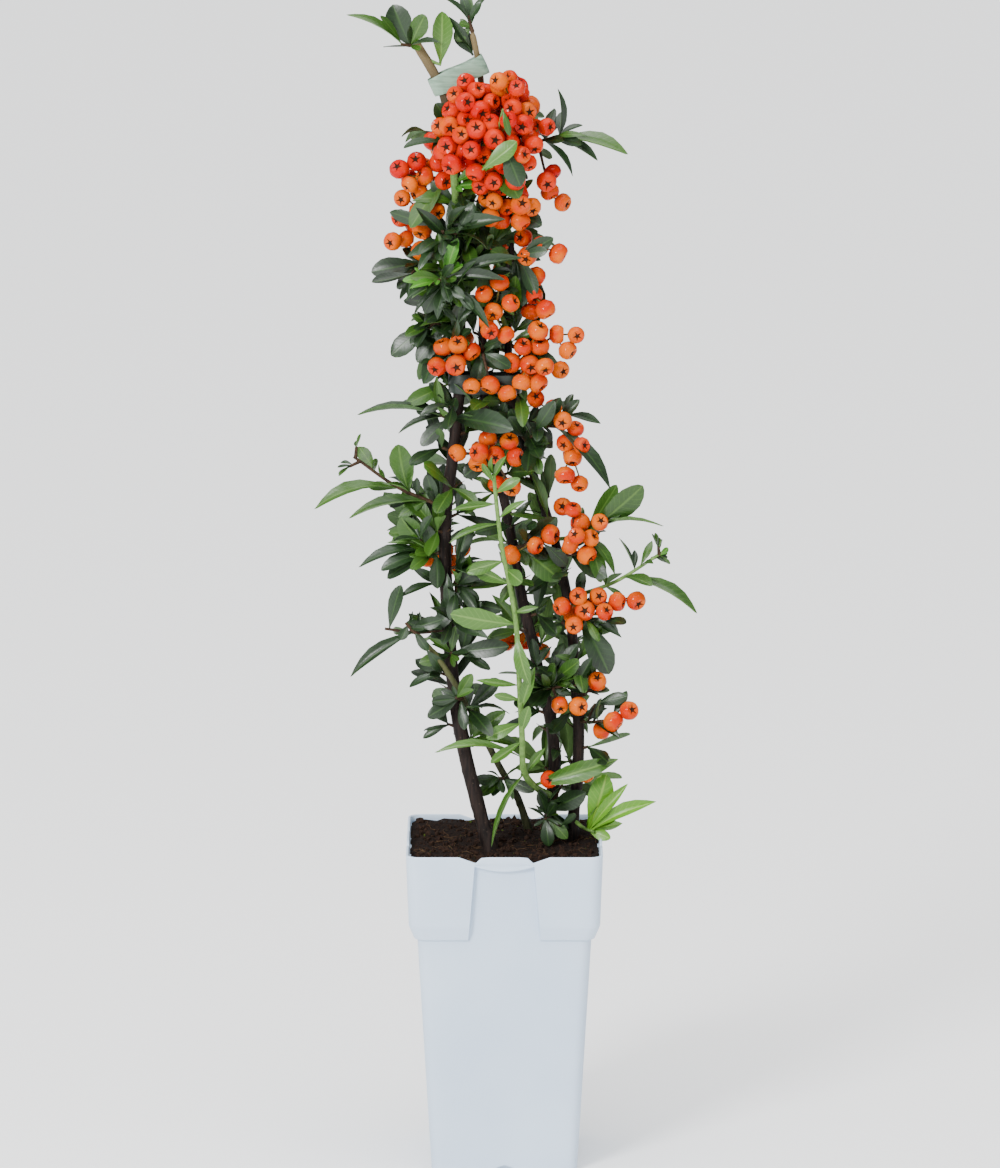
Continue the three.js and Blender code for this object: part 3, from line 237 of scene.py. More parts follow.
# Each row is a mass: its name, its stem and height, its twig's tip, its main colour and its parts.
CROWN = [
  ["tuft_tip_left", "stem_left", 633, [-57, -6, 634], "dark",
    [leaf(1, [-31, -4, 17], 0.2, 0.4), leaf(0.7, [-15, 3, -1], 0.28, 0.3),
      leaf(0.1, [-9, 5, 23], 0.6, 1), leaf(0.05, [18, -5, 3], 0.18, 0.3),
      leaf(0.3, [8, 9, 18], 0.5, 0.8)]],
  ["leaf_tip_pale", "stem_left", 627, [-35, -2, 622], "young",
    [leaf(1, [1, -1, 30], 0.42, 1)]],
  ["tuft_tip_right", "stem_middle", 640, [-20, -1, 649], "dark",
    [leaf(0.7, [-16, -4, 15], 0.2, 0.4), leaf(1, [12, 3, 15], 0.24, 0.4),
      leaf(0.1, [-7, -3, 3], 0.5, 0.7), leaf(1, [-3, 10, 19], 0.3, 0.5),
      leaf(0.05, [-9, 2, -8], 0.55, 0.9)]],
  ["tuft_right_high", "stem_middle", 577, [31, -4, 583], "dark",
    [leaf(1, [-1, -2, 27], 0.2, 0.7), leaf(1, [40, -8, -9], 0.2, 0.5), leaf(1, [25, -2, -13], 0.2, 0.4),
      leaf(0.9, [17, -6, -20], 0.26, 0.6), leaf(0.82, [-3, -6, 11], 0.6, 0.9),
      leaf(1, [15, 4, 6], 0.3, 0.4), leaf(0.9, [8, 16, 10], 0.3, 0.5),
      leaf(0.7, [14, 12, -10], 0.3, 0.5), fruit(0.7, [25, -6, 552], 3, [5, 5, 11])]],
  ["fruit_top_left", "stem_left", 590, [-27, -15, 592], "fruit",
    [fruit(0.9, [-18, -19, 602], 5, [9, 6, 7]), fruit(0.8, [-28, -17, 583], 5, [8, 7, 9]),
      leaf(0.3, [-9, -5, 12], 0.6, 0.9), leaf(0.5, [-10, -6, -16], 0.3, 0.6)]],
  ["fruit_top_right", "stem_middle", 596, [6, -12, 594], "fruit",
    [fruit(1, [3, -17, 604], 5, [9, 6, 8]), fruit(0.9, [14, -14, 583], 7, [8, 7, 11])]],
  ["fruit_top_low", "stem_middle", 572, [-7, -20, 576], "fruit",
    [fruit(0.9, [-6, -24, 584], 7, [10, 6, 9]), fruit(0.7, [-7, -20, 566], 3, [7, 4, 5]),
      leaf(1, [16, -12, -24], 0.5, 0.9), leaf(0.5, [-8, -4, -14], 0.4, 0.7)]],
  ["fruit_left_high", "stem_left", 562, [-41, -8, 560], "fruit",
    [fruit(1, [-44, -9, 561], 3, [6, 4, 5]), fruit(0.6, [-48, -8, 542], 4, [6, 4, 8]),
      leaf(0.5, [-6, -4, 17], 0.25, 0.6), leaf(0.6, [-18, 6, -34], 0.3, 0.5)]],
  ["shoot_pruned", "stem_left", 538, [-28, -25, 567], "young",
    [leaf(0.7, [13, -5, 2], 0.4, 0.6), leaf(0.5, [17, -6, 6], 0.3, 0.5),
      leaf(0.4, [-25, -5, 3], 0.26, 0.5), leaf(0.3, [-15, -4, 17], 0.36, 0.7),
      leaf(0.75, [24, -3, 14], 0.22, 0.6)]],
  ["fruit_middle_high", "stem_middle", 548, [0, -14, 549], "fruit",
    [fruit(1, [1, -17, 545], 7, [10, 6, 10]), leaf(0.5, [28, -8, -14], 0.4, 0.7)]],
  ["rosette_high", "stem_left", 522, [-34, -21, 532], "dark",
    [tuft(0.5, 7, 24), leaf(1, [34, -4, 10], 0.3, 0.6), leaf(0.9, [-17, -4, 22], 0.35, 0.7)]],
  ["rosette_low", "stem_left", 492, [-35, -27, 507], "young",
    [leaf(1, [34, -6, 0], 0.22, 0.5), leaf(0.9, [24, -6, -24], 0.22, 0.5),
      leaf(1, [42, -3, 13], 0.2, 0.5), leaf(1, [-18, -5, -8], 0.25, 0.5),
      leaf(0.8, [-17, -3, -17], 0.25, 0.5), tuft(0.7, 6, 22)]],
  ["tuft_left_high", "stem_left", 510, [-48, -4, 512], "dark",
    [leaf(1, [-27, -2, -5], 0.46, 0.9), leaf(0.8, [-16, 4, 9], 0.3, 0.5),
      leaf(0.8, [-19, -2, -19], 0.3, 0.5), leaf(0.5, [-8, 12, 12], 0.35, 0.6),
      leaf(0.6, [-6, 14, -12], 0.35, 0.6), fruit(0.9, [-55, -3, 525], 2, [5, 3, 4])]],
  ["tuft_right_mid", "stem_right", 512, [10, -10, 518], "dark",
    [leaf(0.8, [19, -4, 11], 0.4, 0.8), leaf(1, [16, -3, 4], 0.4, 0.8), leaf(1, [9, -3, -22], 0.35, 0.8),
      leaf(0.8, [4, -6, -26], 0.4, 0.8), leaf(0.5, [14, 5, -30], 0.3, 0.6),
      leaf(0.4, [12, 14, 4], 0.35, 0.6), fruit(0.9, [20, -6, 522], 3, [6, 4, 5]),
      fruit(0.6, [16, -5, 494], 3, [4, 4, 10])]],
  ["fruit_front_mid", "stem_middle", 492, [-5, -15, 490], "fruit",
    [fruit(1, [-6, -19, 487], 5, [6, 4, 14])]],
  ["tuft_left_mid", "stem_left", 476, [-42, -4, 478], "dark",
    [leaf(1, [-22, -3, -18], 0.42, 0.8), leaf(0.9, [-14, -2, 6], 0.4, 0.7),
      leaf(0.7, [-16, -3, -20], 0.42, 0.8), leaf(0.4, [-16, -5, -32], 0.36, 0.8), tuft(0.4, 6, 19)]],
  ["fruit_left_mid", "stem_left", 472, [-29, -17, 470], "fruit",
    [fruit(1, [-27, -17, 458], 4, [7, 4, 10]), leaf(0.8, [8, -8, -2], 0.5, 0.8),
      leaf(0.7, [2, -6, 22], 0.4, 0.9)]],
  ["fruit_tie", "stem_middle", 466, [-12, -13, 462], "dark",
    [fruit(1, [-8, -14, 445], 2, [4, 2, 2]), leaf(1, [16, -4, -8], 0.45, 0.8),
      leaf(0.8, [-8, -4, -12], 0.5, 0.8), leaf(0.7, [12, -6, 6], 0.5, 0.8),
      leaf(0.5, [-4, -8, -22], 0.4, 0.8)]],
  ["fruit_right_mid", "stem_right", 466, [14, -10, 462], "fruit",
    [fruit(1, [14, -12, 456], 6, [7, 5, 12]), fruit(0.9, [29, -6, 472], 2, [4, 3, 4]),
      fruit(0.8, [31, -6, 452], 1, [1, 1, 1]), leaf(0.8, [24, -4, -10], 0.26, 0.5)]],
  ["fruit_right_chain", "stem_right", 424, [32, -8, 420], "fruit",
    [fruit(0.8, [27, -9, 431], 3, [6, 4, 8]), fruit(1, [38, -9, 403], 6, [4, 4, 20]),
      leaf(1, [28, -2, -38], 0.24, 0.8), leaf(0.9, [9, -3, 4], 0.4, 0.6)]],
  ["tuft_right_lower", "stem_right", 408, [15, -14, 416], "dark",
    [tuft(0.3, 8, 23)]],
  ["tuft_left_tie", "stem_left", 424, [-36, -9, 427], "dark",
    [leaf(1, [-47, -4, 1], 0.14, 0.3), leaf(1, [-4, -4, 24], 0.24, 0.7),
      leaf(0.7, [4, -6, 13], 0.4, 0.8), leaf(0.6, [-16, -5, -15], 0.4, 0.7),
      leaf(0.8, [-26, -4, -9], 0.2, 0.4), leaf(0.5, [42, -14, -3], 0.3, 0.7)]],
  ["fruit_middle_low", "stem_middle", 404, [-8, -14, 406], "fruit",
    [fruit(1, [-5, -18, 406], 5, [11, 4, 6]), fruit(0.9, [-26, -16, 407], 1, [1, 1, 1]),
      leaf(0.7, [-16, -5, -12], 0.5, 0.8), fruit(0.8, [4, -16, 388], 2, [6, 4, 4])]],
  ["shoot_left_arm", "stem_left", 374, [-84, -12, 404], "dark",
    [leaf(0.42, [-6, -3, 28], 0.6, 1), leaf(0.55, [-48, -6, -11], 0.17, 0.4),
      leaf(0.25, [-46, -6, -9], 0.2, 0.45), leaf(0.3, [-17, -5, -9], 0.32, 0.6),
      leaf(0.12, [-6, -5, 18], 0.42, 0.9), leaf(0.7, [-4, -3, 9], 0.25, 0.6), tuft(0.9, 4, 9),
      leaf(0.5, [-12, 16, 6], 0.3, 0.5)]],
  ["tuft_left_low", "stem_left", 350, [-42, -8, 348], "dark",
    [leaf(1, [-17, -4, 22], 0.5, 0.9), leaf(0.8, [-6, -6, 18], 0.4, 0.8),
      leaf(1, [-44, -5, -7], 0.16, 0.3), leaf(0.9, [-28, -4, 7], 0.16, 0.4),
      leaf(1, [-28, -7, -8], 0.28, 0.5), leaf(0.8, [-28, -2, -14], 0.3, 0.5),
      leaf(0.5, [2, -8, -22], 0.4, 0.8), leaf(0.7, [-16, 12, 2], 0.35, 0.5)]],
  ["tuft_middle_low", "stem_left", 332, [-26, -15, 332], "dark",
    [leaf(1, [16, -4, 14], 0.45, 0.8), leaf(1, [14, -5, -8], 0.4, 0.7),
      leaf(0.8, [-4, -6, -18], 0.45, 0.8), tuft(0.5, 4, 18)]],
  ["twig_left_low", "stem_left", 306, [-67, -10, 306], "dark",
    [leaf(0.95, [7, -2, 26], 0.34, 0.9), leaf(0.65, [1, -3, 13], 0.15, 0.7),
      leaf(0.45, [15, -5, 12], 0.45, 0.8), leaf(0.6, [-2, 15, 8], 0.3, 0.5),
      leaf(0.3, [-14, -6, 6], 0.4, 0.7)]],
  ["tuft_crossing_tip", "stem_crossing", 306, [-55, -29, 313], "dark",
    [leaf(0.9, [-4, -4, -8], 0.6, 0.9), leaf(0.1, [-36, -5, -25], 0.2, 0.6),
      leaf(1, [18, -4, 6], 0.4, 0.8), leaf(0.8, [8, -6, -10], 0.4, 0.8)]],
  ["leaf_front_fold", "stem_left", 290, [-30, -18, 294], "dark",
    [leaf(1, [33, -5, 5], 0.32, 0.8), leaf(0.6, [-18, -4, -4], 0.4, 0.8),
      leaf(0.4, [-6, 14, 8], 0.35, 0.5)]],
  ["young_shoot", "stem_middle", 205, YOUNG_SHOOT, "young",
    [leaf(0.98, [-7, -4, 12], 0.45, 0.9), leaf(1, [7, -4, 14], 0.3, 0.9),
      leaf(0.97, [14, -3, 9], 0.4, 0.9), leaf(0.95, [-26, -5, -3], 0.24, 0.8),
      leaf(1, [-1, -5, 12], 0.3, 0.8), leaf(0.88, [-28, -5, -10], 0.2, 0.7),
      leaf(0.9, [16, -4, 12], 0.2, 0.7), leaf(0.8, [-22, -4, -6], 0.42, 0.9),
      leaf(0.75, [9, -8, -6], 0.8, 1), leaf(0.72, [-20, -3, 9], 0.36, 0.9),
      leaf(0.62, [-37, -5, 7], 0.42, 0.95), leaf(0.66, [14, -3, 4], 0.3, 0.8),
      leaf(0.58, [8, -3, -30], 0.3, 0.95), leaf(0.45, [-25, -4, 4], 0.2, 0.8),
      leaf(0.42, [-15, -5, 4], 0.35, 0.8), leaf(0.4, [8, -4, 26], 0.28, 0.9),
      leaf(0.34, [-20, -3, -8], 0.4, 0.9), leaf(0.3, [-18, -5, -12], 0.32, 0.8),
      leaf(0.33, [4, -5, 17], 0.4, 1), leaf(0.14, [48, -4, 16], 0.26, 0.8),
      leaf(0.24, [-50, -4, 4], 0.07, 0.4), leaf(0.2, [-19, -24, -38], 0.08, 0.5),
      leaf(0.2, [11, 4, 14], 0.3, 0.7)]],
  ["leaf_right_light", "stem_right", 354, [49, -7, 362], "young",
    [leaf(1, [29, -4, 26], 0.42, 0.9), leaf(0.95, [17, 5, 26], 0.3, 0.7),
      leaf(0.9, [46, -5, 5], 0.13, 0.3), leaf(1, [18, -4, -24], 0.26, 0.6),
      leaf(0.8, [10, -4, -28], 0.36, 0.8), leaf(0.6, [8, 16, 8], 0.3, 0.5)]],
  ["fruit_right_low", "stem_right", 346, [42, -12, 350], "fruit",
    [fruit(1, [48, -13, 358], 5, [11, 4, 7]), fruit(0.8, [38, -12, 374], 2, [3, 3, 4])]],
  ["fruit_middle_sparse", "stem_middle", 350, [15, -12, 356], "dark",
    [fruit(1, [17, -13, 354], 3, [13, 5, 14]), leaf(0.6, [20, -6, 18], 0.4, 0.8),
      leaf(0.5, [24, -6, -18], 0.5, 0.9)]],
  ["shoot_right_arm", "stem_right", 320, [88, -8, 349], "young",
    [leaf(0.6, [42, -6, -20], 0.17, 0.45), leaf(0.75, [-9, 3, 18], 0.14, 0.5), tuft(0.85, 6, 11),
      leaf(0.5, [-4, -4, 16], 0.3, 0.8), leaf(0.4, [10, 18, 4], 0.3, 0.5)]],
  ["fruit_right_foot", "stem_right", 312, [46, -10, 312], "fruit",
    [fruit(1, [45, -13, 317], 6, [12, 5, 7]), fruit(1, [63, -8, 321], 2, [2, 2, 5]),
      leaf(0.8, [17, -4, -32], 0.42, 0.9), leaf(0.7, [26, -2, -12], 0.15, 0.5)]],
  ["spur_right_low", "stem_right", 250, [54, -5, 252], "dark",
    [fruit(1, [61, -6, 252], 3, [4, 4, 8]), leaf(0.8, [17, -3, -10], 0.26, 0.5),
      leaf(0.6, [8, -5, 12], 0.4, 0.7), leaf(0.5, [4, 14, 4], 0.35, 0.5)]],
  ["spur_right_mid", "stem_right", 266, [49, -5, 270], "dark",
    [fruit(1, [52, -6, 275], 1, [1, 1, 1]), leaf(0.9, [12, -3, 2], 0.3, 0.6)]],
  ["fruit_low_middle", "stem_middle", 272, [27, -10, 272], "dark",
    [fruit(1, [31, -13, 263], 2, [3, 3, 9]), tuft(0.3, 6, 23)]],
  ["tuft_crossing_mid", "stem_crossing", 268, [-27, -27, 270], "dark",
    [leaf(1, [9, -4, 15], 0.4, 0.8), leaf(1, [-15, -4, -1], 0.4, 0.8), leaf(1, [-18, -4, -10], 0.4, 0.8),
      leaf(0.6, [2, -6, -17], 0.36, 0.8)]],
  ["shoot_foot_right", "stem_right", 192, [50, -8, 189], "young",
    [leaf(0.8, [10, -3, 33], 0.42, 1), leaf(1, [37, -4, 18], 0.2, 0.5), leaf(1, [22, -3, 28], 0.18, 0.5),
      leaf(1, [13, -6, -4], 0.45, 0.9), leaf(0.9, [17, -4, 12], 0.3, 0.6)]],
  ["tuft_foot_front", "stem_middle", 204, [23, -8, 196], "dark",
    [leaf(1, [2, -5, -15], 0.5, 0.9), leaf(0.8, [-5, -5, 15], 0.36, 0.8),
      leaf(1, [12, -5, -12], 0.42, 0.8), leaf(0.7, [14, -5, 6], 0.3, 0.6),
      leaf(0.5, [22, -4, 14], 0.45, 0.8), fruit(0.5, [35, -6, 221], 2, [4, 2, 2])]],
  ["fruit_top_back", "stem_middle", 594, [0, 15, 598], "fruit",
    [fruit(1, [0, 17, 594], 5, [11, 5, 10]), tuft(0.5, 3, 24)]],
  ["tuft_top_back", "stem_left", 578, [-33, 14, 582], "dark",
    [tuft(0.4, 6, 25), fruit(0.9, [-26, 18, 576], 3, [6, 4, 6])]],
  ["tuft_crossing_low", "stem_crossing", 216, [-3, 1, 218], "dark",
    [leaf(1, [-16, -9, 0], 0.36, 0.8), leaf(0.9, [-13, -11, -8], 0.4, 0.8),
      leaf(0.7, [18, -8, -6], 0.36, 0.8)]],
]

# The far side repeats one rule: a tuft with a cluster every BACK_STEP up the stems.
BACK_LOWEST = 300
BACK_STEP = 55
BACK_COUNT = 5
BACK_REACH = 26
BACK_RISE = 4
BACK_TURNS = (12, 20, 28)  # degrees off straight back
BACK_CLUSTER = (8, 4, 10)  # inwards and back from its twig's tip, and below its twig's foot
for k in range(BACK_COUNT):
    height = BACK_LOWEST + BACK_STEP * k
    side = 1 if k % 2 == 0 else -1
    stem_name = "stem_middle" if side > 0 else "stem_left"
    turn = side * math.radians(BACK_TURNS[k % 3])
    foot, _ = on_stem(stem_name, height)
    x, y = foot.x + BACK_REACH * math.sin(turn), foot.y + BACK_REACH * math.cos(turn)
    inwards, behind, below = BACK_CLUSTER
    centre = [x - inwards * side, y + behind, height - below]
    CROWN.append([f"tuft_back_{k + 1}", stem_name, height, [x, y, height + BACK_RISE],
                  "dark" if k % 3 else "fruit",
                  [tuft(0.3, 6, 28), fruit(0.9, centre, 4, [8, 5, 7])]])


# ---- the solids' own growth ----------------------------------------------------------------------
SAME_POINT = 0.08  # a corner of a solid is found again within this distance
BERRY_CORNERS = 5  # corners that show a berry was left on the solid
TWIG_BOW = 0.06  # of the twig's length


def along(path, share):
    """A point and the direction along a path, at a share of its length."""
    place = share * (len(path) - 1)
    low = min(int(place), len(path) - 2)
    step = path[low + 1] - path[low]
    return path[low].lerp(path[low + 1], place - low), step.normalized()


def twig_path(start, tip):
    """A twig bows: it leaves its stem sideways and turns up towards its tip."""
    reach = tip - start
    path = []
    for i in range(TWIG_STEPS + 1):
        t = i / TWIG_STEPS
        path.append(start + reach * t - UP * (TWIG_BOW * reach.length * 4 * t * (1 - t)))
    return path


def outwards(origin, root, reach):
    """The level direction a leaf turns its face to: the plant's front or back, by where it grows."""
    away = root + reach / 2 - origin
    return Vector((0.02 * away.x, 1 if away.y > BACK_FROM else -1, 0)).normalized()


def turned_round(direction, axis, angle):
    return Quaternion(axis, angle) @ direction


def upper_side(reach, face, outward):
    """Square to the leaf's own length, between straight up and outwards."""
    upper = UP * (1 - face) + outward * face
    heading = reach.normalized()
    return (upper - heading * upper.dot(heading)).normalized()


class Mass:
    """One twig of the crown, which its leaves, berries and finer twigs grow from."""

    def __init__(self, index, name, stem, height, tip, tone):
        self.name = name
        self.tone = tone
        self.random = seeded(MASS_SEED + index)
        self.fine = seeded(FINE_SEED + index)
        self.origin, self.stem_radius = on_stem(stem, height)
        bent = isinstance(tip[0], list)
        if bent:
            self.twig = spaced([self.origin] + tip, SHOOT_STEPS)
        else:
            self.twig = twig_path(self.origin, Vector(tip))
        self.green = bent or tone == "young"
        self.sparse = name in OPEN_MASSES
        low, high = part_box(name)
        self.low, self.high = low / MM, high / MM
        self.corners = search_tree([vertex.co / MM for vertex in frame["nodes"][name].data.vertices])

    def has_corner(self, point):
        return self.corners.find(point)[2] < SAME_POINT

    def has_berry(self, place):
        near = self.corners.find_range(place, BERRY_RADIUS + SAME_POINT)
        return sum(distance > BERRY_RADIUS - SAME_POINT for _, _, distance in near) >= BERRY_CORNERS

    def holds(self, point, room):
        """Whether a point is inside the mass's own space, or within `room` of it."""
        return all(self.low[i] - room < point[i] < self.high[i] + room for i in range(3))


def search_tree(points):
    """Finds the points that lie near a place."""
    tree = kdtree.KDTree(len(points))
    for number, point in enumerate(points):
        tree.insert(point, number)
    tree.balance()
    return tree


blades = []  # (root, reach, width share, upper side, tone)
berries = []  # (centre, calyx direction, tone)
sticks = []  # (path, first radius, last radius, kind)
spray_roots = []  # (mass, root, reach, tone) of each grown leaf, where finer leaves join it
clusters = []  # each with its mass, its stalk's start, its middle, its berries and its plan


def grow_leaf(mass, root, reach, wide, face):
    """The blade turns outwards as far as its solid did; one its solid left off grows as planned."""
    outward = outwards(mass.origin, root, reach)
    length = reach.length
    chosen = reach
    for turn in LEAF_TURNS:
        turned = reach + outward * (turn * length)
        turned = turned * (length / turned.length)
        heading = turned.normalized()
        full = length + LEAF_SINK
        rise = LEAF_ARCH * full * 4 * LEAF_RIDGE * (1 - LEAF_RIDGE) + LEAF_THICK * length
        start = root - heading * LEAF_SINK
        ridge = start + heading * (LEAF_RIDGE * full) + upper_side(turned, face, outward) * rise
        if mass.has_corner(ridge) or mass.has_corner(start + heading * full):
            chosen = turned
            break
    tone = spray_tone(mass)
    longer, wider = LEAF_KEEPS.get(mass.name, (1, 1))
    chosen = chosen * longer
    blades.append((root, chosen, wide * wider, upper_side(chosen, face, outward), tone))
    spray_roots.append((mass, root, chosen, tone))


# Of the sprays of a mass, the shares that are fresh green and middle green; the rest are dark.
TONE_SHARES = {"shoot_pruned": (0.55, 0.3), "rosette_low": (0.3, 0.4), "leaf_right_light": (0, 1),
               "shoot_right_arm": (0.1, 0.75)}
USUAL_SHARES = (0, 0.22)
BRIGHT_MASS = "shoot_foot_right"
# What the leaves of some masses keep of their planned length and width.
LEAF_KEEPS = {"young_shoot": (1, 0.9), "rosette_low": (1.05, 0.72), "rosette_high": (1.05, 0.76),
              "tuft_top_back": (0.62, 1)}
# Masses that stay open: a bare shoot or arm, or the few long leaves above the upper tie.
OPEN_MASSES = ("young_shoot", "shoot_left_arm", "shoot_right_arm", "twig_left_low", "tuft_right_high",
               "tuft_left_tie", "shoot_foot_right", "tuft_tip_left", "tuft_tip_right", "leaf_tip_pale",
               "leaf_right_light", "tuft_crossing_mid", "tuft_crossing_tip", "fruit_top_left",
               "fruit_top_right", "fruit_top_low")


def spray_tone(mass):
    """The colour of one spray, dealt out by chance round its mass's main colour."""
    draw = mass.fine()
    if mass.name == BRIGHT_MASS:
        return "bright"
    fresh, middle = TONE_SHARES.get(mass.name, USUAL_SHARES)
    if mass.tone == "young" and mass.name not in TONE_SHARES:
        return "young"
    if draw < fresh:
        return "fresh"
    return "mid" if draw < fresh + middle else "dark"


def grow_tuft(mass, part):
    """Three leaves on a short spur, again and again round the twig."""
    spurs = math.ceil(part["count"] / 3)
    start = mass.random() * 2 * math.pi
    for spur in range(spurs):
        share = mix(part["at"], 1, (spur + 0.6) / spurs)
        point, heading = along(mass.twig, share)
        aside = (UP - heading * heading.z).normalized()
        aside = turned_round(aside, heading, start + spur * GOLDEN_ANGLE)
        out = (heading * 0.6 + aside).normalized()
        end = point + out * (SPUR_LENGTH * (0.7 + 0.5 * mass.random()))
        sticks.append(([point, end], TWIG_RADIUS * 0.85, TWIG_RADIUS * 0.6, "twig"))
        for k in range(3):
            lean = 0.75 + 0.3 * mass.random()
            swing = turned_round(aside, out, 2 * math.pi * (k + mass.random() * 0.5) / 3)
            reach = (out * 0.8 + swing * lean).normalized()
            reach = reach * (part["length"] * (0.8 + 0.35 * mass.random()))
            face = 0.35 + 0.5 * mass.random()
            if spur * 3 + k < part["count"]:
                wide = LEAF_WIDTH + 0.1 * mass.random()
                grow_leaf(mass, point.lerp(end, 1 - 0.3 * k), reach, wide, face)


def nearest_on(start, end, point):
    line = end - start
    share = (point - start).dot(line) / line.length_squared
    return start + line * min(max(share, 0), 1)


def berry_places(start, centre, count, spread, random):
    """Round an ellipsoid, then moved apart until they only just touch each other and the stalk."""
    turn = random() * 2 * math.pi
    places = []
    for i in range(count):
        height = 1 - 2 * i / count
        level = math.sqrt(1 - height * height)
        around = turn + i * GOLDEN_ANGLE
        point = Vector((level * math.cos(around), level * math.sin(around), height))
        places.append(point * Vector(spread) * (0.85 + 0.3 * random()) + centre)
    places[0] = centre.copy()
    for _ in range(PUSH_PASSES):
        for i in range(1, count):
            for j in range(i):
                apart = places[i] - places[j]
                short = 2 * BERRY_RADIUS * BERRIES_APART - apart.length
                if short > 0:
                    apart = apart.normalized() * (short / 2 if j > 0 else short)
                    places[i] += apart
                    if j > 0:
                        places[j] -= apart
            apart = places[i] - nearest_on(start, centre, places[i])
            short = BERRY_RADIUS * BERRIES_APART + TWIG_RADIUS - apart.length
            if short > 0:
                places[i] += apart.normalized() * short
    return places


def grow_fruit(mass, part):
    """A side stalk to a cluster of berries; those its solid left off are tried again later."""
    start, _ = along(mass.twig, part["at"])
    centre = part["centre"]
    sticks.append(([start, centre], TWIG_RADIUS * 0.7, TWIG_RADIUS * 0.45, "twig"))
    places = berry_places(start, centre, part["count"], part["spread"], mass.random)
    kept = [place for place in places if mass.has_berry(place)]
    clusters.append({"mass": mass, "start": start, "centre": centre, "kept": kept,
                     "count": part["count"], "spread": part["spread"]})


def grow_mass(index, name, stem, height, tip, tone, parts):
    mass = Mass(index, name, stem, height, tip, tone)
    length = (mass.twig[-1] - mass.origin).length
    for order, part in enumerate(parts):
        if part["kind"] == "leaf":
            back = 0.6 + LEAF_STAGGER * (order % 4)
            place = max(part["at"] * length - back, mass.stem_radius + STEM_CLEAR) / length
            root, _ = along(mass.twig, place)
            grow_leaf(mass, root, part["reach"], part["wide"], part["face"])
        elif part["kind"] == "tuft":
            grow_tuft(mass, part)
        else:
            grow_fruit(mass, part)
    return mass


masses = [grow_mass(index, *row) for index, row in enumerate(CROWN)]

# ---- finer growth within the same reach ----------------------------------------------------------
WHORL_STEP = 7  # along a twig
SPARSE_WHORL_STEP = 28  # along an open twig
WHORL_LENGTH = (11, 23)
SIDE_TWIG_LENGTH = (8, 14)
FASCICLE_STEP = 5.7  # up a stem's crowded part
OPEN_STEP = 10  # up a stem below it
CROWDED_ABOVE = 415
FASCICLE_LOWEST = {"stem_left": 240, "stem_middle": 208, "stem_right": 214}  # the olive stem is bare
FASCICLE_HIGHEST = 578
FASCICLE_LENGTH = (16, 31)
FASCICLE_STALK = 3.2
THORN_LENGTH = 7
TAPE_ROOM = 7  # kept clear round a tape's middle line
BERRY_TOUCH = 0.86  # of two radii: the least distance between a late berry and its neighbours
BERRY_TRIES = 54
TOP_CLUSTER = ((-10, 587), (28, 32))  # middle and half sizes, seen from the front
# How many late berries a cluster gains, of its planned count, above each height.
LATE_SHARES = ((553, 2.1), (440, 0.55), (0, 0.2))
RED_ABOVE = 553  # the clusters above this height ripened first
RED_SHARE = 0.8
REACH_ROOM = 5  # finer growth stays within its mass's own box and this much round it
LEAF_APART = 2.6  # between the middles of neighbouring leaves
NEIGHBOURS = 260  # the last leaves that a new one is held against
LEAF_CHECKS = (0.45, 0.75, 1)  # places along a leaf that are held against stems, tapes and berries
BERRY_SEARCH = 26
SOIL_ROOM = 4  # leaves hang no lower than this above the soil
# Leaves that hang before the top cluster or stand behind the upper tie: mass, root, reach, width
# share and tone.
FRONT_LEAVES = (("fruit_top_low", (-12, -41, 569), (19, -1.5, 16), 0.4, "young"),
                ("fruit_top_low", (0, -39, 580), (9, -1, -21), 0.55, "dark"),
                ("fruit_top_low", (-1, -39, 602), (4, -1, -15), 0.28, "mid"),
                ("tuft_tip_right", (-17.5, 2.4, 627), (-9, 4, 15), 0.6, "dark"),
                ("tuft_tip_right", (-18, 2.4, 630), (-13, -3, 19), 0.24, "dark"))


def random_direction(draw):
    height = 2 * draw() - 1
    around = 2 * math.pi * draw()
    level = math.sqrt(1 - height * height)
    return Vector((level * math.cos(around), level * math.sin(around), height))


def stem_distance(point):
    """From a point to the nearest stem's surface."""
    best = math.inf
    for path, radii in tracks.values():
        for i in range(len(path) - 1):
            reach = (point - nearest_on(path[i], path[i + 1], point)).length
            best = min(best, reach - mix(radii[i], radii[i + 1], 0.5))
    return best


def tie_distance(point):
    """From a point to the nearest tape's middle line, which runs level across its stems."""
    best = math.inf
    for tape in TAPES.values():
        middle = Vector(tape["centre"])
        side = Vector((tape["run"] / 2 + 0.5, 0, 0))
        best = min(best, (point - nearest_on(middle - side, middle + side, point)).length)
    return best


taken = [place for cluster in clusters for place in cluster["kept"]]


def in_outline(mass, place):
    """The top cluster keeps its rounded outline: its late berries don't widen it."""
    if not mass.name.startswith("fruit_top"):
        return True
    (x, z), (half_wide, half_high) = TOP_CLUSTER
    return math.hypot((place.x - x) / half_wide, (place.z - z) / half_high) < 1


def berry_fits(place):
    """A late berry only just touches its neighbours and stays off the stems and the tapes."""
    return (all((place - other).length > 2 * BERRY_RADIUS * BERRY_TOUCH for other in taken)
            and stem_distance(place) > BERRY_RADIUS * 0.9
            and tie_distance(place) > BERRY_RADIUS + TAPE_ROOM)


